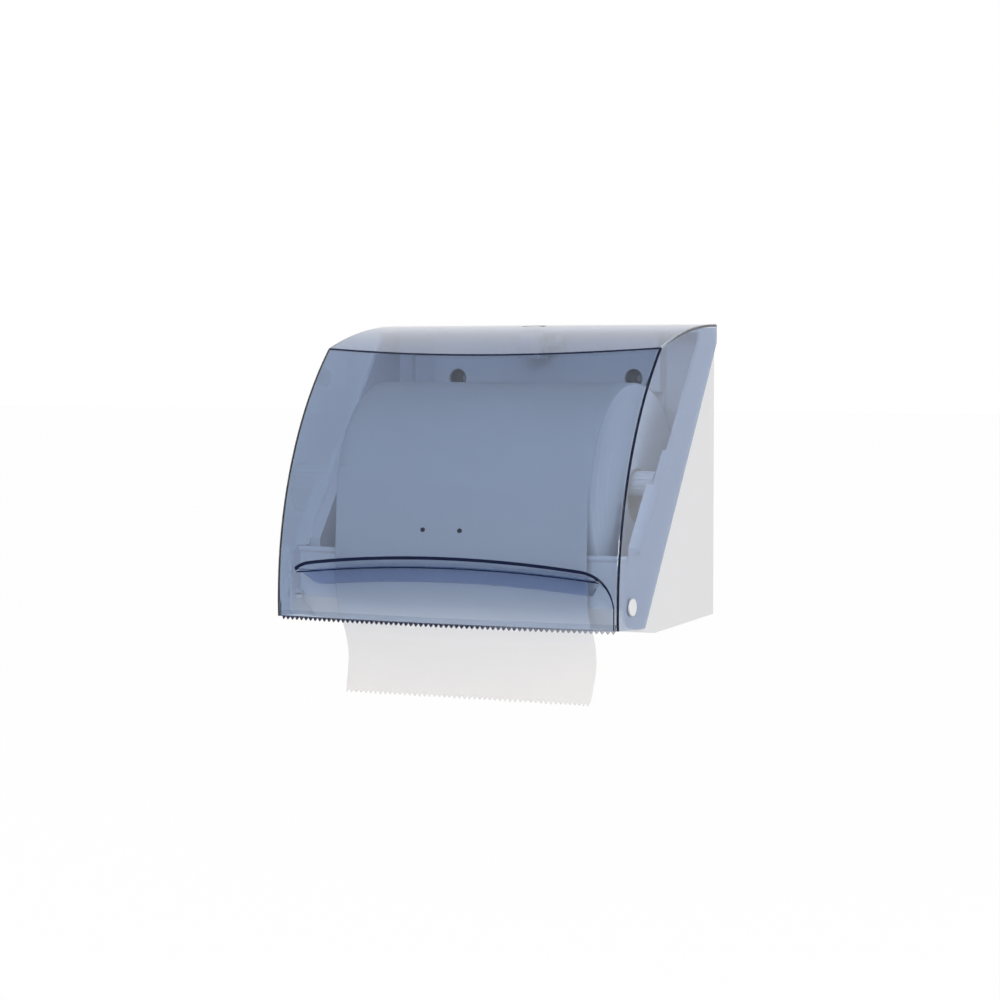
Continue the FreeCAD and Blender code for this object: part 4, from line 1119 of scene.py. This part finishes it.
def addCover(look):
    half, _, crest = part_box("front_cover")[1]
    vertices, faces, thick, marks, frontY = coverSkin(look)
    cover = freshObject("tintedCover", vertices, faces)
    group = cover.vertex_groups.new(name="thick")
    for value in set(thick):
        group.add([i for i, t in enumerate(thick) if t == value], value, "REPLACE")
    shell = cover.modifiers.new("shell", "SOLIDIFY")
    shell.thickness = look["bandWall"]
    shell.offset = -1.0
    shell.use_even_offset = True
    shell.vertex_group = "thick"
    applied(cover)
    tools = coverTools(look, half, crest, frontY)
    for tool, operation in zip(tools, ("UNION", "DIFFERENCE")):
        change = cover.modifiers.new(operation, "BOOLEAN")
        change.operation = operation
        change.object = tool
        change.solver = "EXACT"
    applied(cover)
    for tool in tools:
        mesh = tool.data
        bpy.data.objects.remove(tool)
        bpy.data.meshes.remove(mesh)
    cover.data.materials.clear()
    cover.data.materials.append(finishes["tinted_plastic"])
    cover.data.materials.append(edgeShadeFinish)
    darkEdges(cover, look, marks, frontY)
    smoothByAngle(cover, math.radians(look["sharpFrom"]), look["flatSide"])
    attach(cover, "cover")
    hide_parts("front_cover")


edgeLines = {
    # half width of each painted dark line along a moulded edge
    "arch": 0.0017,
    "archEnd": 0.0009,
    "leg": 0.0007,
    "ledge": 0.00075,
    "crest": 0.0021,
    "corner": 0.0010,
}


def darkEdges(cover, look, marks, frontY):
    # painted shade: the faces along the moulded edges, where the dye is seen through its whole depth,
    # get an opaque dark finish, and so do the studs and the faces round the release slot
    samples = []
    for kind, line in marks.items():
        for one, two in zip(line, line[1:]):
            gap = (two - one).length
            if gap > look["lineBreak"]:
                continue
            count = max(1, math.ceil(gap / look["lineStep"]))
            samples += [(one.lerp(two, i / count), kind) for i in range(count)]
        samples.append((line[-1], kind))
    tree = kdtree.KDTree(len(samples))
    for i, (point, _) in enumerate(samples):
        tree.insert(point, i)
    tree.balance()
    slotReach = look["slotWidth"] / 2.0 + look["slotShade"]
    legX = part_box("front_cover")[1][0] - look["archMargin"] + edgeLines["leg"] / 2.0
    for face in cover.data.polygons:
        centre = face.center
        _, i, gap = tree.find(centre)
        kind = samples[i][1]
        dark = gap < edgeLines[kind] and (kind in ("corner", "crest") or abs(centre.x) < legX)
        away = abs(math.hypot(centre.x, centre.y - look["slotY"]) - look["slotMid"])
        if centre.y > look["slotY"] - look["slotShade"] and centre.z > look["slotFloor"]:
            dark = dark or away < slotReach
        offStud = math.hypot(abs(centre.x) - look["studX"], centre.z - look["studZ"])
        behind = centre.y - frontY(centre.x, centre.z) - look["wall"]
        onStud = (offStud < look["studRadius"] * look["studEase"]
                  and behind > look["studLength"] * look["studFoot"])
        face.material_index = int(dark or onStud)


def smoothByAngle(obj, limit, flatSide):
    # smooth faces, sharp where they meet at more than the limit and round the flat sides
    shape = bmesh.new()
    shape.from_mesh(obj.data)
    for face in shape.faces:
        face.smooth = True
    for edge in shape.edges:
        if len(edge.link_faces) == 2:
            flat = any(abs(face.normal.x) > flatSide for face in edge.link_faces)
            edge.smooth = edge.calc_face_angle(0.0) < limit and not flat
    shape.to_mesh(obj.data)
    shape.free()


addRoll(woundRoll)
addCover(tintedCover)
addSheet(looseSheet)
print("roll, cover and sheet ready")

slotOf = {part["node"]: part["material_slot"] for part in record["subparts"]}
for name, obj in nodes.items():
    finish = ownFinish.get(name, finishes[slotOf[name]])
    if not obj.data.materials:
        obj.data.materials.append(finish)
    for i in range(len(obj.data.materials)):
        obj.data.materials[i] = finish
print("nodes dressed")
